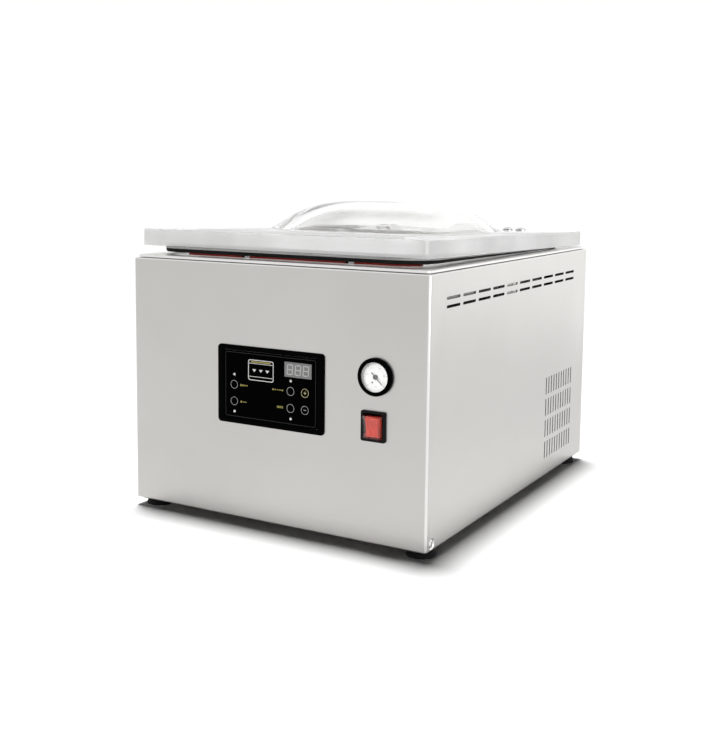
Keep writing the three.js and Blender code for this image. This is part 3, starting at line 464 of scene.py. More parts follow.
def bevelled_frame(name, outer, inner, low, high, material, edge=0.6, steps=6, turn=None):
    """A frame between two rounded rectangles, (half_x, half_y, radius) each, with rounded edges."""
    section = [(0.0, low), (0.0, high - edge), (0.3 * edge, high - 0.3 * edge), (edge, high)]
    loops = [rect_level(*outer, inset, z, steps) for inset, z in section]
    loops += [rect_level(*inner, -inset, z, steps) for inset, z in reversed(section)]
    return loft(name, loops, material, ROUND_EDGES, turn, wrap=True)


def extruded(name, outline, low, high, material, turn=None, bevel=0.0):
    """A prism over a closed outline, its edges softened by bevel."""
    piece = loft(name, [level(outline, low), level(outline, high)], material, turn=turn)
    if bevel:
        soften(piece, bevel)
    return piece


def soften(piece, width, angle=35.0):
    """Rounds the sharp edges of a piece, width in millimetres."""
    modifier = piece.modifiers.new("soft_edges", "BEVEL")
    modifier.width = width * MM
    modifier.segments = 2
    modifier.limit_method = "ANGLE"
    modifier.angle_limit = radians(angle)
    modifier.harden_normals = True


def bake(piece):
    """Applies a piece's modifiers."""
    graph = bpy.context.evaluated_depsgraph_get()
    mesh = bpy.data.meshes.new_from_object(piece.evaluated_get(graph))
    piece.modifiers.clear()
    old = piece.data
    piece.data = mesh
    bpy.data.meshes.remove(old)


def merged(name, pieces):
    """One mesh out of several pieces, which are removed."""
    work = bmesh.new()
    for piece in pieces:
        mesh = piece.data.copy()
        mesh.transform(piece.matrix_world)
        work.from_mesh(mesh)
        bpy.data.meshes.remove(mesh)
        bpy.data.objects.remove(piece)
    mesh = bpy.data.meshes.new(name)
    work.to_mesh(mesh)
    work.free()
    return mesh


def cut_away(piece, cutters):
    """Cuts cutter objects out of a piece and removes them."""
    tool = link("tool", merged("tool", cutters))
    modifier = piece.modifiers.new("cut", "BOOLEAN")
    modifier.operation = "DIFFERENCE"
    modifier.solver = "EXACT"
    modifier.object = tool
    bake(piece)
    bpy.data.objects.remove(tool)


def joined(name, pieces):
    """One mesh object out of several that touch or stand apart."""
    material = pieces[0].data.materials[0]
    for piece in pieces:
        bake(piece)
    mesh = merged(name, pieces)
    mesh.materials.append(material)
    smooth(mesh, ROUND_EDGES)
    return link(name, mesh)


def fit(piece, body, slot, *nodes):
    """Puts a finished piece on its body, in place of CAD nodes."""
    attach(piece, body)
    if nodes:
        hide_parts(*nodes)


# ---- Housing ----

SLOT = {"count": 10, "length": 35.0, "height": 3.2, "pitch": 42.3, "first": 40.0, "rows": (260.5, 269.8)}
GRILLE = {
    "columns": 11, "pitch": 9.85, "width": 3.0, "height": 23.4, "first": 357.5,
    "tops": (134.5, 105.5, 76.5, 47.3),
}
SHEET = 1.5
LIP = 12.0
FOOT_LIP = 34.0
FOLD = 2.2
CORNER_FOLD = 4.0
SIDE_SCREW = {"y": 13.0, "z": 8.0, "sunk": 1.1}
PANEL_HOLE = (62, 38, 2)
SWITCH_HOLE = (13.5, 15.3, 1)
GAUGE_HOLE = 19.3
STUD_HOLE = 3.3
FEET = ["foot_front_left", "foot_front_right", "foot_rear_left", "foot_rear_right"]


def wall_section():
    """Once round the folded sheet, as (distance in from the outer face, height) pairs."""
    steps = 4
    top = SHELL_TOP - UNDER
    inner = FOLD - SHEET
    section = [(FOOT_LIP, 0.0)]
    section += [(FOLD * s, FOLD * c) for s, c in quarter(steps)]
    section += [(FOLD * c, top - FOLD * s) for s, c in quarter(steps)]
    section += [(LIP, top), (LIP, top - SHEET)]
    section += [(SHEET + inner * c, top - SHEET - inner * s) for s, c in reversed(quarter(steps))]
    section += [(SHEET + inner * s, SHEET + inner * c) for s, c in reversed(quarter(steps))]
    section.append((FOOT_LIP, SHEET))
    return section


def wall_loop(inset, height):
    """The plan of the wrap at a distance in from its outer face: left side, front and right side."""
    steps = 8
    core = max(inset, CORNER_FOLD)
    radius = core - inset
    turns = [pi / 2 * i / steps for i in range(steps + 1)]
    arc = [(SIDE - core + radius * cos(a), core - radius * sin(a)) for a in turns]
    end = (SIDE - inset, REAR - FACE)
    right = [*arc[::-1], end]
    left = [(-x, y) for x, y in reversed(right)]
    return [(x, FACE + y, UNDER + height) for x, y in left + right]


def pill(width, height, centre, steps):
    """A slot with round ends."""
    return rounded_rect(width / 2, height / 2, min(width, height) / 2 - 0.01, steps, centre)


def slot_middle(i):
    return FACE + SLOT["first"] + i * SLOT["pitch"] + SLOT["length"] / 2


def side_cutters(outline):
    """The same hole through the left side and the right side."""
    reach = 6
    ends = [sorted((sign * (SIDE - reach), sign * (SIDE + reach))) for _, sign in SIDES]
    return [loft("cutter", [[(x, y, z) for y, z in outline] for x in pair], None) for pair in ends]


def front_cutter(outline):
    return loft("cutter", [[(x, y, z) for x, z in outline] for y in (FACE - 5, FACE + 9)], None)


def shell_cutters():
    """Slots, grille and dimple of the sides, the three openings of the front and the studs' holes."""
    cutters = []
    for z in SLOT["rows"]:
        for i in range(SLOT["count"]):
            cutters += side_cutters(pill(SLOT["length"], SLOT["height"], (slot_middle(i), UNDER + z), 5))
    for top in GRILLE["tops"]:
        for i in range(GRILLE["columns"]):
            centre = (FACE + GRILLE["first"] + i * GRILLE["pitch"], UNDER + top - GRILLE["height"] / 2)
            cutters += side_cutters(pill(GRILLE["width"], GRILLE["height"], centre, 4))
    dimple = [(4.9, -SIDE_SCREW["sunk"]), (6.3, 0.0), (6.3, 3.0)]
    place = (SIDE, FACE + SIDE_SCREW["y"], UNDER + SIDE_SCREW["z"])
    cutters.append(lathe("dimple", dimple, None, place, "x", 32))
    panel, gauge, switch = (centre_mm(node) for node in ("control_frame", "gauge_case", "switch_frame"))
    cutters.append(front_cutter(rounded_rect(*PANEL_HOLE, 3, (panel.x, panel.z))))
    cutters.append(front_cutter(circle(GAUGE_HOLE, 40, (gauge.x, gauge.z))))
    cutters.append(front_cutter(rounded_rect(*SWITCH_HOLE, 3, (switch.x, switch.z))))
    for node in FEET:
        foot = centre_mm(node)
        cutters.append(drill(STUD_HOLE, -3, 6, (foot.x, foot.y, UNDER), sides=20))
    return cutters


def make_shell():
    columns = [wall_loop(inset, height) for inset, height in wall_section()]
    count = len(columns[0])
    rows = len(columns)
    points = [p for column in columns for p in column]
    faces = loft_faces(rows, count, wrap=True, closed=False)
    faces.append(tuple(row * count for row in range(rows)))
    faces.append(tuple(row * count + count - 1 for row in reversed(range(rows))))
    shell = solid("body_wrap", points, faces, "sheet")
    cut_away(shell, shell_cutters())
    smooth(shell.data)
    # Brighter steel on the bends: a painted highlight.
    paint_bend_highlights(shell.data)
    soften(shell, 0.25, ROUND_EDGES)
    fit(shell, "root", "steel_housing", "housing_shell")
    for side, sign in SIDES:
        outline = oblong(sign * (SIDE - SHEET - LIP), sign * (SIDE - SHEET - 0.05), REAR - SHEET, REAR - 0.1)
        low, high = UNDER + SHEET + 0.2, SHELL_TOP - SHEET - 0.2
        fit(extruded(f"rear_return_{side}", outline, low, high, "sheet", bevel=0.3), "root", "steel_housing")


def paint_bend_highlights(mesh):
    """The outside of each bend gets a brighter, smoother steel: a painted highlight."""
    mesh.materials.append(MATERIALS["bend"])
    for polygon in mesh.polygons:
        facing = sorted(abs(part) for part in polygon.normal)
        # Each sloping face of a bend takes the painted highlight.
        if facing[1] > 0.3:
            polygon.material_index = 1


def make_slot_brackets():
    """A pale drilled tab behind one pair of side slots, and a grey strip behind the first upper ones."""
    row_low, row_high = (UNDER + z for z in SLOT["rows"])
    top = row_high + 4
    middle = slot_middle(4)
    start = FACE + SLOT["first"] - 4
    end = start + 2 * SLOT["pitch"] + 2
    for side, sign in SIDES:
        outer = sign * (SIDE - SHEET - 0.6)
        inner = outer - sign * SHEET
        tab = oblong(inner, outer, middle - 19, middle + 20)
        bracket = extruded(f"slot_bracket_{side}", tab, row_low - 10, top, "lamp", bevel=0.3)
        cut_away(bracket, [drill(1.7, -6, 6, (outer, middle + 5, z), "x") for z in (row_low, row_high)])
        fit(bracket, "root", "steel_housing")
        strip = oblong(inner, outer, start, end)
        stiffener = extruded(f"top_stiffener_{side}", strip, row_high - 3.2, top, "web", bevel=0.3)
        fit(stiffener, "root", "steel_housing")


# ---- Deck and chamber ----

DECK = {"skirt": 3.0, "corner": 6.0, "roll": 1.8, "sheet": 1.3}
TUB = {
    "half_x": 165.0, "front": 38.0, "rear": 438.0,
    "corner": 30.0, "least_corner": 4.0, "rim": 5.0, "bottom": 14.0,
}


def make_chamber():
    """The deck's skirt and rolled edge, the rim of the tub, its walls and its floor, in one skin."""
    low, high, middle, half = spread_mm("chamber")
    tub_y = FACE + (TUB["front"] + TUB["rear"]) / 2
    tub_half_y = (TUB["rear"] - TUB["front"]) / 2
    floor = low.z + SHEET
    steps = 8
    loops = []

    def deck_loop(inset, z):
        corner = DECK["corner"] - inset * 0.9
        loops.append(level(rounded_rect(half.x - inset, half.y - inset, corner, steps, (0, middle.y)), z))

    def tub_loop(inset, z):
        corner = max(TUB["corner"] - inset, TUB["least_corner"])
        outline = rounded_rect(TUB["half_x"] - inset, tub_half_y - inset, corner, steps, (0, tub_y))
        loops.append(level(outline, z))

    deck_loop(0, high.z - DECK["skirt"])
    for s, c in quarter(4):
        deck_loop(DECK["roll"] * c, high.z - DECK["roll"] * s)
    for s, c in quarter(5):
        tub_loop(-TUB["rim"] * s, high.z - TUB["rim"] * c)
    for s, c in quarter(6):
        tub_loop(TUB["bottom"] * c, floor + TUB["bottom"] * s)
    deck = loft("deck_and_chamber", loops, "deck", ROUND_EDGES, start=False)
    widest = max(deck.data.polygons, key=lambda p: p.area)
    thickness = deck.modifiers.new("sheet", "SOLIDIFY")
    thickness.thickness = DECK["sheet"] * MM
    thickness.offset = -1.0 if widest.normal.z > 0 else 1.0
    bake(deck)
    smooth(deck.data, ROUND_EDGES)
    fit(deck, "root", "steel_chamber", "chamber")


# ---- Lid, made about its hinge axis ----

LID = {"half_x": 192.5, "front": -506.5, "rear": -9.5, "under": -2.6, "top": 17.4, "corner": 4.0, "edge": 1.0}
DOME = {
    "half_x": 135.0, "half_y": 118.0, "y": -237.5,
    "height": 38.0, "hollow": 44.0, "wall": 9.0, "square": 5.0,
}
GASKET = {"half_x": 180.0, "front": -494.5, "rear": -59.5, "half_width": 4.0, "depth": 4.0, "corner": 34.0}
GASKET_FOOT = -3.6
LEAF = {"half_x": 25.0, "half_y": 22.3, "y": -32.0, "sheet": 2.7, "neck": 11.6}
HINGE_X = 100.0
LID_TURN = shift(*HINGE) @ Matrix.Rotation(-LID_TILT, 4, "X")
ALONG_X = Matrix(((0, 0, 1, 0), (1, 0, 0, 0), (0, 1, 0, 0), (0, 0, 0, 1)))


def rect_hit(angle, half_x, half_y, radius):
    """Where a ray from the middle of a rounded rectangle leaves it."""
    c, s = cos(angle), sin(angle)
    reach = min(half_x / max(abs(c), 1e-9), half_y / max(abs(s), 1e-9))
    x, y = reach * c, reach * s
    core_x, core_y = half_x - radius, half_y - radius
    if abs(x) <= core_x or abs(y) <= core_y:
        return x, y
    middle_x, middle_y = copysign(core_x, c), copysign(core_y, s)
    along = middle_x * c + middle_y * s
    t = along + sqrt(max(along ** 2 - (middle_x ** 2 + middle_y ** 2) + radius ** 2, 0.0))
    return t * c, t * s


def middle_and_half(span):
    return (span["rear"] + span["front"]) / 2, (span["rear"] - span["front"]) / 2


def lid_angles():
    """Directions round the lid, closer together at its corners."""
    outline = rounded_rect(LID["half_x"], middle_and_half(LID)[1], LID["corner"], 5)
    angles = []
    for (x, y), (next_x, next_y) in zip(outline, outline[1:] + outline[:1]):
        parts = 20 if hypot(next_x - x, next_y - y) > 50 else 1
        for k in range(parts):
            t = k / parts
            angles.append(atan2(y + (next_y - y) * t, x + (next_x - x) * t))
    return angles


LID_ANGLES = lid_angles()


def plate_loop(inset, z):
    middle, half_y = middle_and_half(LID)
    corner = max(LID["corner"] - inset, 0.5)
    hits = [rect_hit(a, LID["half_x"] - inset, half_y - inset, corner) for a in LID_ANGLES]
    return [(x, middle + y, z) for x, y in hits]


def gasket_foot(y):
    """The height that the gasket's underside reaches: flat on the deck once the lid is closed."""
    return GASKET_FOOT + y * tan(GASKET_SLOPE)


def gasket_loop(grow, rise, share=0.0):
    """The gasket's plan grown sideways, a share of the way from the plate to its foot, and raised."""
    middle, half_y = middle_and_half(GASKET)
    hits = [rect_hit(a, GASKET["half_x"] + grow, half_y + grow, GASKET["corner"] + grow) for a in LID_ANGLES]
    under = LID["under"]
    return [(x, middle + y, under + share * (gasket_foot(middle + y) - under) + rise) for x, y in hits]


def dome_loop(share, half_x, half_y, z):
    power = DOME["square"]
    loop = []
    for a in LID_ANGLES:
        c, s = cos(a), sin(a)
        reach = share * (abs(c / half_x) ** power + abs(s / half_y) ** power) ** (-1 / power)
        loop.append((reach * c, DOME["y"] + reach * s, z))
    return loop


def dome_rise(share, power=3.8, ease=1.2):
    return (1 - share ** power) ** ease


def lid_loops():
    """Over the dome, over the plate and down its edge, round the gasket's groove and up into the dome."""
    top, under, edge, wall = LID["top"], LID["under"], LID["edge"], DOME["wall"]
    steps = 22
    shares = [0.02, *(sin(pi / 2 * i / steps) for i in range(1, steps)), 0.9995]
    loops = []
    for share in shares:
        z = top + DOME["height"] * dome_rise(share)
        loops.append(dome_loop(share, DOME["half_x"], DOME["half_y"], z))
    loops += [plate_loop(edge * s, top - edge * c) for s, c in quarter(3)]
    loops += [plate_loop(edge * c, under + edge * s) for s, c in quarter(3)]
    half, depth = GASKET["half_width"], GASKET["depth"]
    loops += [gasket_loop(grow, rise) for grow, rise in ((half, 0), (half, depth), (-half, depth), (-half, 0))]
    for share in reversed(shares):
        z = under + DOME["hollow"] * dome_rise(share)
        loops.append(dome_loop(share, DOME["half_x"] - wall, DOME["half_y"] - wall, z))
    return loops


def make_lid():
    lid = loft("lid_plate", lid_loops(), "acrylic", 25.0, LID_TURN)
    half = LEAF["half_x"] + 0.3
    cutters = []
    for _, sign in SIDES:
        x = sign * HINGE_X
        outline = oblong(x - half, x + half, LEAF["y"] - LEAF["half_y"] - 0.5, -8)
        cutters.append(extruded("recess", outline, -4.0, 0.4, None, LID_TURN))
    cut_away(lid, cutters)
    smooth(lid.data, 25.0)
    frost_edges(lid.data)
    lid.visible_shadow = False
    fit(lid, "lid", "clear_acrylic", "lid")


def frost_edges(mesh):
    """Gives the sawn edges of the plate a satin finish."""
    mesh.materials.append(MATERIALS["acrylic_edge"])
    inverse = LID_TURN.inverted()
    upright = inverse.to_3x3()
    strip = 2
    for polygon in mesh.polygons:
        place = inverse @ polygon.center / MM
        inside = abs(place.x) <= LID["half_x"] - strip and LID["front"] + strip < place.y < LID["rear"] - strip
        if not inside and abs((upright @ polygon.normal).z) < 0.7:
            polygon.material_index = 1


def make_gasket():
    """The seal, from its sides in the groove to its rounded foot, and the grey web on its upper half."""
    roof = GASKET["depth"] - 0.3
    groove = [(3.6, roof - 0.6), (3.0, roof), (-3.0, roof), (-3.6, roof - 0.6), (-3.6, 0)]
    foot = [(-3.3, 0.9), (-2.4, 0.2), (-1.0, 0), (1.0, 0), (2.4, 0.2), (3.3, 0.9)]
    loops = [gasket_loop(grow, rise) for grow, rise in groove]
    loops += [gasket_loop(grow, rise, 1.0) for grow, rise in foot]
    loops.append(gasket_loop(3.6, 0))
    gasket = loft("lid_seal", loops, "rubber", ROUND_EDGES, LID_TURN, wrap=True)
    fit(gasket, "lid", "black_rubber", "lid_gasket")
    web = [gasket_loop(grow, -0.05) for grow in (3.8, -3.8)]
    web += [gasket_loop(grow, 0, 0.4) for grow in (-3.95, 3.95)]
    fit(loft("lid_seal_web", web, "web", ROUND_EDGES, LID_TURN, wrap=True), "lid", "black_rubber")


BAR = {"half": 159.0, "depth": 10.0, "height": 15.0, "y": -454.5, "clips": 72.0}
BAR_TOP = LID["under"] - 0.3


def make_counter_bar():
    """A silicone bar whose face is ribbed where it presses on the bag."""
    y, half = BAR["y"], BAR["depth"] / 2
    low = BAR_TOP - BAR["height"]
    corner, lift, rib = 1.2, 1.5, 2.6
    outline = [(y - half, BAR_TOP), (y - half, low + lift), (y - half + corner, low)]
    for i in range(3):
        middle = y + rib * (i - 1)
        outline += [(middle + step, low + rise) for step, rise in ((-0.9, 0), (-0.4, 0.6), (0.4, 0.6), (0.9, 0))]
    outline += [(y + half - corner, low), (y + half, low + lift), (y + half, BAR_TOP)]
    end = BAR["half"]
    bar = extruded("counter_bar_rubber", outline, -end, end, "silicone", LID_TURN @ ALONG_X, 0.5)
    fit(bar, "lid", "red_silicone", "counter_bar")


def make_bar_clips():
    """Bent straps that hold the counter bar under the lid, each with a rubber pad beside it."""
    gap = 0.3
    strap = 1.5
    half = BAR["depth"] / 2 + gap
    wide = half + strap
    low = BAR_TOP - BAR["height"] - gap
    base = low - strap
    y = BAR["y"]
    outer = [(y - wide, BAR_TOP), (y - wide, base), (y + wide, base), (y + wide, BAR_TOP)]
    inner = [(y + half, BAR_TOP), (y + half, low), (y - half, low), (y - half, BAR_TOP)]
    outline = rounded_profile(outer, 2.2, 4) + rounded_profile(inner, 0.7, 4)
    turn = LID_TURN @ ALONG_X
    for side, sign in SIDES:
        x = sign * BAR["clips"]
        clip = extruded(f"counter_bar_strap_{side}", outline, x - 1.5, x + 5.5, "aluminium", turn, 0.25)
        fit(clip, "lid", "aluminium_parts", f"bar_clip_{side}")
        pad = extruded(f"counter_bar_pad_{side}", outline, x - 5.5, x - 1.6, "rubber", turn, 0.25)
        fit(pad, "lid", "black_rubber")


# ---- Hinges and screws ----

BASE_LEAF = {"top": 300.0, "tab": 296.0, "sheet": 3.0, "gap": 12.2}


def make_hinges():
    half, rim, neck = 27.0, 3.8, 2.5
    end = half - 1.7
    pin = [(0, -half), (rim, -half), (rim, -end), (neck, -end), (neck, end), (rim, end), (rim, half), (0, half)]
    pin = rounded_profile(pin, 0.5)
    for side, sign in SIDES:
        x = sign * HINGE_X
        make_lid_leaf(side, x)
        make_base_leaf(side, x)
        spindle = lathe(f"hinge_spindle_{side}", pin, "bright", (x, HINGE.y, HINGE.z), "x", 32)
        fit(spindle, "root", "bright_steel", f"hinge_pin_{side}")


def knuckle(low, high, place, turn=None):
    """The rolled barrel of a hinge leaf, its ends chamfered."""
    bore, outer, chamfer = 2.8, 4.5, 0.5
    face = outer - chamfer
    profile = [(bore, low), (bore, high), (face, high), (outer, high - chamfer), (outer, low + chamfer),
               (face, low), (bore, low)]
    return lathe("knuckle", profile, "bright", place, "x", 40, turn)


def make_lid_leaf(side, x):
    low = LID["under"]
    high = low + LEAF["sheet"]
    neck = LEAF["neck"]
    size = (LEAF["half_x"], LEAF["half_y"], 3)
    parts = [
        bevelled_plate("leaf", size, low, high, "bright", 0.4, 4, LID_TURN @ shift(x, LEAF["y"])),
        extruded("neck", oblong(x - neck, x + neck, -12, -1.5), low, high, "bright", LID_TURN, 0.3),
        knuckle(-neck, neck, (x, 0, 0), LID_TURN),
    ]
    fit(joined(f"lid_leaf_{side}", parts), "lid", "bright_steel", f"lid_hinge_{side}")
    for i, step in enumerate((-10, 10)):
        make_lid_bolt(f"lid_bolt_{side}_{i + 1}", x + step)


def make_lid_bolt(name, x):
    """A low button head on its washer, on top of the lid, with the bolt through the plate."""
    top = LID["top"]
    turn = LID_TURN @ shift(x, -34.5, top)
    washer = rounded_profile([(3.2, 0.05), (7.6, 0.05), (7.6, 0.9), (3.2, 0.9)], 0.3)
    head = [(0, 0.9), (5.4, 0.9), (5.5, 1.4), (5.0, 2.1), (3.9, 2.7), (2.4, 3.0), (2.1, 2.9)]
    head += [(1.9, 1.6), (0, 1.6)]
    low = LID["under"] - top
    bolt = [(0, low), (3.1, low), (3.1, 1), (0, 1)]
    parts = [lathe("washer", washer + washer[:1], "bright", sides=32, turn=turn),
             lathe("head", head, "bright", sides=36, turn=turn),
             lathe("bolt", bolt, "bright", sides=24, turn=turn)]
    fit(joined(name, parts), "lid", "bright_steel")


def make_base_leaf(side, x):
    low = box_mm(f"hinge_base_{side}")[0]
    sheet = BASE_LEAF["sheet"]
    inner, outer = low.y, low.y + sheet
    top = UNDER + BASE_LEAF["top"]
    half, gap = LEAF["half_x"], BASE_LEAF["gap"]
    turn = front_turn(x, (low.z + top) / 2, outer)
    parts = [bevelled_plate("plate", (half, (top - low.z) / 2, 3), 0, sheet, "bright", 0.4, 4, turn)]
    for start, end in ((-half, -gap), (gap, half)):
        outline = oblong(x + start, x + end, inner, outer)
        parts.append(extruded("tab", outline, UNDER + BASE_LEAF["tab"], HINGE.z, "bright", bevel=0.3))
        parts.append(knuckle(start, end, (x, HINGE.y, HINGE.z)))
    fit(joined(f"hinge_plate_{side}", parts), "root", "bright_steel", f"hinge_base_{side}")
    spots = [(step, rise) for rise in (8, 26) for step in (-16, 16)]
    for i, (step, rise) in enumerate(spots):
        make_pan_screw(f"hinge_screw_{side}_{i + 1}", (x + step, outer, low.z + rise), "y", 3.6, 2.0)


def make_pan_screw(name, place, axis, radius, height):
    """A domed screw head with a cross recess."""
    rim = 0.15
    profile = [(0, -0.6), (radius * 0.6, -0.6), (radius, 0.0)]
    for t in (0.0, 0.3, 0.6, 0.85, 1.0):
        rise = rim + (1 - rim) * sin(pi / 2 * t)
        profile.append((radius * cos(pi / 2 * t * 0.96), height * rise))
    profile.append((0, height))
    head = lathe(name, profile, "bright", sides=32)
    arm, wide = radius * 0.52, radius * 0.13
    for x, y in ((arm, wide), (wide, arm)):
        cut_away(head, [extruded("cross", oblong(-x, x, -y, y), height * 0.35, height + 1, None)])
    head.data.transform(placed(place, axis))
    smooth(head.data, 35.0)
    fit(head, "root", "bright_steel")


# ---- Control panel ----

KEYS = ["pump_button", "stop_button", "vacuum_time_button", "seal_time_button", "plus_button", "minus_button"]
LAMPS = [(-48.8, 169.5), (-48.8, 126.2), (28.8, 169.5), (28.8, 126.2)]
PANEL_INSIDE = (64, 40, 2.5)
DIGIT = {"half_x": 3.4, "half_z": 5.4, "pitch": 10.6, "thick": 0.62, "lean": 0.1}
# The bars of a digit: across and up in half sizes of it, and whether the bar lies flat.
SEGMENTS = [
    (0, 1, True), (0, 0, True), (0, -1, True),
    (1, 0.5, False), (1, -0.5, False), (-1, -0.5, False), (-1, 0.5, False),
]
INK_LOW = -0.05
INK_HIGH = 0.04
# Beside each key: a place on the panel, and bars there as (x, y, half_x, half_y).
KEY_SIGNS = {
    "pump": (-35.2, 157.7, [(-4.2 + 2.8 * i, 0, 0.95, 1.2 - 0.22 * i) for i in range(4)]),
    "stop": (-35.4, 138.3, [(-3.6, 0, 1.1, 1.1), (1.2, 0, 2.6, 0.42)]),
    "vacuum": (11.4, 157.7, [(-6.4 + 3.2 * i, 0, 1.0, 0.42 + 0.24 * abs(i - 2)) for i in range(5)]),
    "seal": (14.6, 138.3, [(0, y, 4.2, 0.26) for y in (0.9, 0, -0.9)]),
}


def make_control_panel():
    low, high, middle, half = spread_mm("control_frame")
    turn = front_turn(middle.x, middle.z)
    outer = (half.x, half.z, 4.5)
    surround = bevelled_frame("keypad_surround", outer, PANEL_INSIDE, -high.y, -low.y, "gloss", 0.7, 8, turn)
    fit(surround, "root", "black_gloss", "control_frame")
    make_fascia(middle)
    make_display()
    make_keys()
    make_printing(middle)
    make_lamps()


def make_fascia(middle):
    low, high, _, half = spread_mm("control_fascia")
    turn = front_turn(middle.x, middle.z)
    size = (half.x, half.z, 2.2)
    fascia = bevelled_plate("keypad_fascia", size, -high.y, -low.y, "fascia", 0.15, 4, turn)
    keys = [centre_mm(node) for node in KEYS]
    cutters = [drill(5.5, -4, 4, (key.x, FACE, key.z), "y", 40) for key in keys]
    window = centre_mm("display_window")
    cutters.append(front_cutter(rounded_rect(18.3, 8.8, 0.6, 2, (window.x, window.z))))
    cutters += [drill(1.9, -4, 4, (x, FACE, UNDER + z), "y") for x, z in LAMPS]
    cut_away(fascia, cutters)
    smooth(fascia.data, 35.0)
    fit(fascia, "root", "black_gloss", "control_fascia")


def bar_mark(name, turn, half_x, half_y, material, low=-0.1, high=INK_HIGH):
    """A printed bar with rounded corners."""
    outline = rounded_rect(half_x, half_y, min(half_x, half_y) * 0.4, 2)
    return extruded(name, outline, low, high, material, turn)


def make_keys():
    """Slightly dished keys, each with a printed ring; two also have a sign."""
    ring = [(4.45, -0.2), (4.95, -0.2), (4.95, 0.03), (4.45, 0.03), (4.45, -0.2)]
    for node in KEYS:
        low, high, middle, half = spread_mm(node)
        place = (middle.x, low.y, middle.z)
        back = low.y - high.y
        r = half.x
        profile = [(0, back), (2.0, back), (2.0, -1.3), (r, -1.3), (r, -0.35), (r - 0.12, -0.12)]
        profile += [(r - 0.4, 0.0), (r * 0.6, -0.12), (r * 0.25, -0.16), (0, -0.17)]
        name = node.replace("_button", "_key")
        fit(lathe(name, profile, "fascia", place, "-y"), node, "black_plastic", node)
        ink = "key_yellow" if node == "plus_button" else "ring_ink"
        fit(lathe(f"{name}_ring", ring, ink, place, "-y"), node, "black_plastic")
        if node in ("plus_button", "minus_button"):
            make_key_sign(f"{name}_sign", node, place, ink)


def make_key_sign(name, node, place, ink):
    """A plus or a minus, printed on a key."""
    x, y, z = place
    turn = front_turn(x, z, y + 0.16)
    parts = [bar_mark("bar", turn, 1.7, 0.38, ink)]
    if node == "plus_button":
        parts.append(bar_mark("bar", turn, 0.38, 1.7, ink, high=0.05))
    fit(joined(name, parts), node, "black_plastic")


def make_lamps():
    """Four small diffused lamps behind the fascia."""
    lamp = [(0, -6), (1.6, -6), (1.6, 0.0), (1.4, 0.25), (0.8, 0.45), (0, 0.5)]
    for i, (x, z) in enumerate(LAMPS):
        place = (x, FACE - 1.2, UNDER + z)
        fit(lathe(f"lamp_{i + 1}", lamp, "lamp", place, "-y", 24), "root", "white_dial")


def make_display():
    """A grey filter with three digits of bars, leaning a little."""
    low, high, middle, half = spread_mm("display_window")
    size = (half.x, half.z, 0.8)
    turn = front_turn(middle.x, middle.z)
    glass = bevelled_plate("display_filter", size, -high.y, -low.y - 0.1, "display", 0.2, 3, turn)
    fit(glass, "root", "display_filter", "display_window")
    flat_bar = (DIGIT["half_x"] - 0.9, DIGIT["thick"])
    upright_bar = (DIGIT["thick"], DIGIT["half_z"] / 2 + 0.1)
    for i in range(3):
        parts = []
        for across, up, flat in SEGMENTS:
            rise = up * DIGIT["half_z"]
            x = middle.x + DIGIT["pitch"] * (i - 1) + across * DIGIT["half_x"] + DIGIT["lean"] * rise
            half_x, half_y = flat_bar if flat else upright_bar
            place = front_turn(x, middle.z + rise, low.y + 0.1)
            parts.append(bar_mark("segment", place, half_x, half_y, "digit", -0.05, 0.05))
        fit(joined(f"display_digit_{i + 1}", parts), "root", "display_filter")


def make_printing(middle):
    """Generic signs: a pouch with its seal, a line frame and short bars beside the keys."""
    face = box_mm("control_fascia")[0].y
    sign = front_turn(-11.8, UNDER + 177.0, face)
    outer, inner = (17.5, 12.0, 2.5), (16.6, 11.1, 1.8)
    parts = [bevelled_frame("pouch", outer, inner, INK_LOW, INK_HIGH, "white_ink", 0.02, 4, sign)]
    for y in (7.6, -7.6):
        parts.append(bar_mark("edge", sign @ shift(0, y), 16.8, 0.3, "white_ink", INK_LOW))
    for x in (-9.0, 0.0, 9.0):
        arrow = [(x - 2.6, 1.0), (x + 2.6, 1.0), (x, -2.4)]
        parts.append(extruded("arrow", arrow, INK_LOW, INK_HIGH, "white_ink", sign))
    fit(joined("pouch_sign", parts), "root", "white_dial")
    seal = bar_mark("pouch_seal", sign @ shift(0, 9.5), 13.5, 0.75, "yellow_ink", INK_LOW, 0.045)
    fit(seal, "root", "white_dial")
    outer, inner = (61.6, 37.6, 2.0), (61.3, 37.3, 1.7)
    turn = front_turn(middle.x, middle.z, face)
    line = bevelled_frame("keypad_line", outer, inner, INK_LOW, 0.02, "line_ink", 0.01, 4, turn)
    fit(line, "root", "white_dial")
    for name, (x, z, bars) in KEY_SIGNS.items():
        turn = front_turn(x, UNDER + z, face)
        marks = []
        for step_x, step_y, half_x, half_y in bars:
            marks.append(bar_mark("bar", turn @ shift(step_x, step_y), half_x, half_y, "yellow_ink"))
        fit(joined(f"{name}_sign", marks), "root", "white_dial")


# ---- Gauge ----

DIAL = {"start": -45.0, "sweep": 270.0, "ticks": 20, "numbers": 5, "arc_steps": 32, "rim": 15.0, "arc": 15.25}


def dial_turn(share):
    """The direction of a reading on the dial, from 0 at its start to 1 at its end."""
    return radians(DIAL["start"] + DIAL["sweep"] * share)


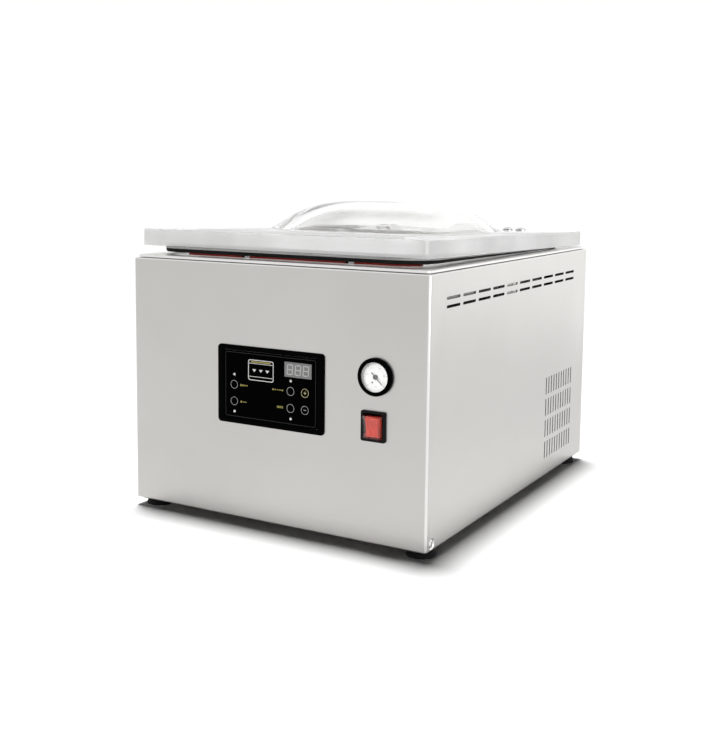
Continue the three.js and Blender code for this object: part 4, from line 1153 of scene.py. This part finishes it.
def make_gauge():
    low, _, middle, half = spread_mm("gauge_bezel")
    place = (middle.x, FACE, middle.z)
    proud = FACE - low.y
    outer = half.x
    wall = [(18.6, 0.3), (outer, 0.3), (outer, proud - 1.2), (outer - 0.5, proud - 0.4), (outer - 1.4, proud)]
    wall += [(17.2, proud), (16.4, proud - 0.5), (16.2, proud - 1.0), (16.6, proud - 1.3)]
    wall += [(18.6, proud - 1.3), (18.6, 0.3)]
    fit(lathe("gauge_ring", wall, "gloss", place, "-y", 72), "root", "black_gloss", "gauge_bezel")
    glass = [(0, 2.8), (18.3, 2.8), (18.3, 3.6), (0, 3.62)]
    pane = lathe("gauge_pane", glass, "glass", place, "-y", 64)
    pane.visible_shadow = False
    fit(pane, "root", "clear_acrylic", "gauge_lens")
    dial = [(0.9, -0.5), (18.3, -0.5), (18.3, 0.25), (0.9, 0.25), (0.9, -0.5)]
    fit(lathe("gauge_face", dial, "dial", place, "-y", 64), "root", "white_dial", "gauge_dial")
    make_dial_marks(middle.x, middle.z)
    make_needle(middle.x, middle.z)
    case = [(17.5, -0.8), (19, -0.8), (19, -26), (6, -26), (6, -27.5), (5, -28), (5, -33), (0, -33)]
    case = rounded_profile(case, 0.8) + [(0, -23), (17.5, -23), (17.5, -0.8)]
    fit(lathe("gauge_body", case, "plastic", place, "-y"), "root", "black_plastic", "gauge_case")


def make_dial_marks(x, z):
    """Ticks round three quarters of the dial, with plain numbers."""
    turn = front_turn(x, z, FACE)
    rim = DIAL["rim"]
    ticks = []
    for i in range(DIAL["ticks"] + 1):
        long = i % 4 == 0
        inner = 12.6 if long else 13.6
        half_wide = 0.2 if long else 0.12
        along = Matrix.Rotation(dial_turn(i / DIAL["ticks"]), 4, "Z") @ shift((inner + rim) / 2)
        ticks.append(bar_mark("tick", turn @ along, (rim - inner) / 2, half_wide, "grey_ink", 0.2, 0.3))
    fit(joined("dial_ticks", ticks), "root", "white_dial")
    turns = [dial_turn(i / DIAL["arc_steps"]) for i in range(DIAL["arc_steps"] + 1)]
    band = [(DIAL["arc"] * cos(a), DIAL["arc"] * sin(a)) for a in turns]
    band += [(rim * cos(a), rim * sin(a)) for a in reversed(turns)]
    fit(extruded("dial_arc", band, 0.2, 0.29, "grey_ink", turn), "root", "white_dial")
    for i, words in enumerate(("0", "0.2", "0.4", "0.6", "0.8", "1")):
        a = dial_turn(i / DIAL["numbers"])
        spot = shift(10.6 * cos(a), 10.6 * sin(a), 0.22)
        make_writing(f"dial_number_{i + 1}", words, turn @ spot, 2.3)
    make_writing("dial_unit", "bar", turn @ shift(0, -10.5, 0.22), 2.2)
    rivet = [(0, 0.2), (0.9, 0.2), (0.9, 0.6), (0.5, 0.8), (0, 0.85)]
    place = (x - 4.2, FACE, z - 6.4)
    fit(lathe("dial_rivet", rivet, "needle", place, "-y", 20), "root", "needle_grey")


def make_writing(name, words, turn, size):
    curve = bpy.data.curves.new(name, "FONT")
    curve.body = words
    curve.size = size * MM
    curve.align_x = "CENTER"
    curve.align_y = "CENTER"
    curve.extrude = 0.03 * MM
    writing = bpy.data.objects.new(name, curve)
    bpy.context.scene.collection.objects.link(writing)
    graph = bpy.context.evaluated_depsgraph_get()
    mesh = bpy.data.meshes.new_from_object(writing.evaluated_get(graph))
    bpy.data.objects.remove(writing)
    mesh.transform(turn)
    fit(link(name, mesh, "grey_ink"), "root", "white_dial")


def make_needle(x, z):
    """The pointer at the start of the dial, on its hub."""
    turn = front_turn(x, z, FACE) @ Matrix.Rotation(dial_turn(0), 4, "Z")
    edge = [(-6.4, -0.62), (-5.4, -0.75), (-4.6, -0.5), (0, -0.5), (12.4, -0.14)]
    blade = edge + [(along, -across) for along, across in reversed(edge)]
    hub = [(0, -3), (0.6, -3), (0.6, 0.9), (2.7, 0.9), (2.7, 2.05), (1.2, 2.05), (1.2, 1.7), (0, 1.7)]
    hub = rounded_profile(hub, 0.2)
    parts = [extruded("blade", blade, 1.45, 1.85, "needle", turn)]
    parts.append(lathe("hub", hub, "needle", sides=32, turn=turn))
    fit(joined("gauge_pointer", parts), "gauge_needle", "needle_grey", "gauge_needle")


# ---- Main switch ----

ROCKER_TILT = radians(7.0)
# Up the rocker: shares of its half height, with the depth of the face behind its highest line.
ROCKER_CURVE = [
    (-1, 1.0), (-0.97, 0.0), (-0.9, -0.15), (-0.5, 0.7), (0, 1.2),
    (0.5, 0.7), (0.9, -0.15), (0.97, 0.0), (1, 1.0),
]


def make_switch():
    low, _, middle, half = spread_mm("switch_frame")
    turn = front_turn(middle.x, middle.z, FACE)
    rim, opening, case = (half.x, half.z, 2.0), (11.2, 13.8, 0.8), (13, 14.8, 0.8)
    parts = [
        bevelled_frame("bezel", rim, opening, 0.3, FACE - low.y, "plastic", 0.9, 5, turn),
        bevelled_frame("well", case, opening, -16, 0.5, "plastic", 0.1, 3, turn),
        bevelled_plate("back", case, -24, -15.9, "plastic", 0.4, 3, turn),
    ]
    for y in (-8, 0, 8):
        parts.append(extruded("blade", oblong(-3, 3, y - 0.4, y + 0.4), -32, -23.9, "plastic", turn))
    fit(joined("switch_body", parts), "root", "black_plastic", "switch_frame")
    make_rocker()


def rocker_loops(width, half, face, back, rib=0.0):
    """Sections from the bottom of the rocker to its top; the face is ribbed from top to bottom."""
    last = 8
    margin = 0.8
    across = [-width + margin + 2 * (width - margin) * i / last for i in range(last + 1)]
    loops = []
    for share, depth in ROCKER_CURVE:
        z = share * half
        y = face + depth
        front = [(x, y + (rib if i % 2 else 0.0), z) for i, x in enumerate(across)]
        left = [(-width, back, z * 0.8), (-width, y + 0.9, z), (-width + 0.3, y + 0.25, z)]
        right = [(-x, depth_y, height) for x, depth_y, height in reversed(left)]
        loops.append(left + front + right)
    return loops


def make_rocker():
    """A red translucent rocker inside its clear splash boot."""
    turn = shift(*joint_place("switch_tilt")) @ Matrix.Rotation(ROCKER_TILT, 4, "X")
    cap = loft("rocker_cap", rocker_loops(7.6, 10.4, -7.9, 3.2, 0.7), "rocker", 30.0, turn)
    fit(cap, "switch_rocker", "red_rocker", "switch_rocker")
    outer = rocker_loops(10.8, 12.55, -9.2, 3.0)
    inner = rocker_loops(9.6, 11.2, -8.5, 2.9)
    points = [p for loop in outer + inner for p in loop]
    outside = loft_faces(len(outer), len(outer[0]))
    first = len(outer) * len(outer[0])
    inside = [tuple(first + i for i in face) for face in outside]
    boot = solid("splash_boot", points, outside + inside, "boot", 30.0, turn)
    boot.visible_shadow = False
    fit(boot, "switch_rocker", "red_rocker")


# ---- Feet ----


def make_feet():
    for node in FEET:
        middle = centre_mm(node)
        sole = box_mm(node)[0].z - UNDER
        profile = [(0, sole + 3), (3.2, sole + 3), (3.4, sole), (15.6, sole), (16.6, sole + 0.3)]
        profile += [(17, sole + 1.1), (16.6, sole + 2.4), (13.9, -1.6), (13.2, -0.5), (12.6, -0.3)]
        profile += [(3, -0.3), (3, 6.6), (2.6, 7), (0, 7)]
        foot = lathe(f"rubber_{node}", profile, "rubber", (middle.x, middle.y, UNDER))
        fit(foot, "root", "black_rubber", node)


# ---- Screws of the rear, the base and the side ----


def make_rear_screws():
    """Pan screws along both sides of the rear panel, and beside the power inlet."""
    high = box_mm("rear_panel")[1]
    last = 3
    for side, sign in SIDES:
        for row in range(last + 1):
            z = UNDER + 16 + (SHELL_TOP - UNDER - 32) * row / last
            make_pan_screw(f"rear_screw_{side}_{row + 1}", (sign * (high.x - 8), high.y, z), "y", 3.4, 1.9)
    low, high = box_mm("mains_inlet")
    z = (low.z + high.z) / 2
    for i, x in enumerate((low.x + 4.2, high.x - 4.2)):
        make_pan_screw(f"inlet_screw_{i + 1}", (x, high.y - 0.1, z), "y", 2.4, 1.2)


def make_base_screws():
    """Screws along the returns of the shell, under the base."""
    for side, sign in SIDES:
        for row in range(3):
            place = (sign * (SIDE - 22), FACE + 110 + 140 * row, UNDER)
            make_pan_screw(f"base_screw_{side}_{row + 1}", place, "-z", 3.4, 1.9)


def make_side_screw():
    """The screw sunk in the dimple low on the right side."""
    place = (SIDE - SIDE_SCREW["sunk"], FACE + SIDE_SCREW["y"], UNDER + SIDE_SCREW["z"])
    make_pan_screw("side_screw_right", place, "x", 4.6, 1.05)


# ---- Stage, in metres ----

FLOOR_REACH = 1.6
# Each lamp: place, the point it faces, its width and height, and its power in watts.
LAMP_BOXES = {
    "front_fill": ((-0.9, -2.4, 1.3), (0, 0, 0.2), (2.0, 1.2), 26.0),
    "side_fill": ((2.4, -0.6, 1.0), (0, 0, 0.2), (1.6, 1.6), 20.0),
    "side_box": ((1.5, 2.4, 0.5), (0.2, 0, 0.15), (1.6, 1.6), 4.5),
}


def make_stage():
    mesh = bpy.data.meshes.new("floor")
    corners = [(FLOOR_REACH * x, FLOOR_REACH * y, 0) for x, y in ((-1, -1), (1, -1), (1, 1), (-1, 1))]
    mesh.from_pydata(corners, [], [(0, 1, 2, 3)])
    floor = link("floor", mesh, "floor")
    make_world()
    bpy.context.scene.view_settings.view_transform = "Standard"
    add_sun("overhead", (-0.085, 0.075, 1.0), 3.85, 10.0)
    lamps = [add_light(name, *values) for name, values in LAMP_BOXES.items()]
    lamps[0].visible_glossy = False
    spare_floor(lamps, floor)


def make_world():
    """An even white studio that glossy and clear surfaces show; lamps light the dull ones."""
    world = bpy.data.worlds.new("studio")
    bpy.context.scene.world = world
    world.use_nodes = True
    background = world.node_tree.nodes["Background"]
    background.inputs["Color"].default_value = (1.0, 1.0, 1.0, 1.0)
    background.inputs["Strength"].default_value = 1.03
    world.cycles_visibility.diffuse = False


def add_sun(name, direction, strength, width):
    """A broad sun that shines from a direction, so that the whole floor is lit alike."""
    data = bpy.data.lights.new(name, "SUN")
    data.energy = strength
    data.angle = radians(width)
    sun = bpy.data.objects.new(name, data)
    sun.rotation_euler = (-Vector(direction)).to_track_quat("-Z", "Y").to_euler()
    sun.visible_glossy = False
    sun.visible_transmission = False
    bpy.context.scene.collection.objects.link(sun)


def add_light(name, place, target, size, watts):
    data = bpy.data.lights.new(name, "AREA")
    data.shape = "RECTANGLE"
    data.size, data.size_y = size
    data.energy = watts
    light = bpy.data.objects.new(name, data)
    light.location = place
    light.rotation_euler = (Vector(target) - Vector(place)).to_track_quat("-Z", "Y").to_euler()
    bpy.context.scene.collection.objects.link(light)
    return light


def spare_floor(lamps, floor):
    """Keeps the fill lamps off the floor, so that the shadow under the machine stays deep."""
    receivers = bpy.data.collections.new("fill_receivers")
    receivers.objects.link(floor)
    receivers.collection_objects[0].light_linking.link_state = "EXCLUDE"
    for lamp in lamps:
        lamp.light_linking.receiver_collection = receivers


# ---- CAD nodes that keep their shape ----

KEPT = {
    "sheet": ["rear_panel", "base_plate"],
    "deck": ["chamber_bracket_left", "chamber_bracket_right"],
    "bright": ["suction_port", "lift_rod_left", "lift_rod_right", "motor_shaft", "pump_rotor"],
    "aluminium": ["seal_bar", "lift_cylinder_left", "lift_cylinder_right", "air_valve", "pump_cover"],
    "cast": ["pump_body", "exhaust_filter"],
    "tape": ["seal_strip"],
    "rubber": ["suction_hose"],
    "plastic": ["display_module", "mains_inlet", "fan_cover", "cooling_fan"],
    "board": ["control_board"],
    "motor": ["motor_housing"],
    "iron": ["transformer"],
    "hose": ["gauge_tube"],
}


def paint_kept_nodes():
    for material, names in KEPT.items():
        for name in names:
            mesh = frame["nodes"][name].data
            mesh.materials.clear()
            mesh.materials.append(MATERIALS[material])


make_camera()
make_shell()
make_slot_brackets()
make_chamber()
make_lid()
make_gasket()
make_counter_bar()
make_bar_clips()
make_hinges()
make_control_panel()
make_gauge()
make_switch()
make_feet()
make_rear_screws()
make_base_screws()
paint_kept_nodes()
make_side_screw()
make_stage()
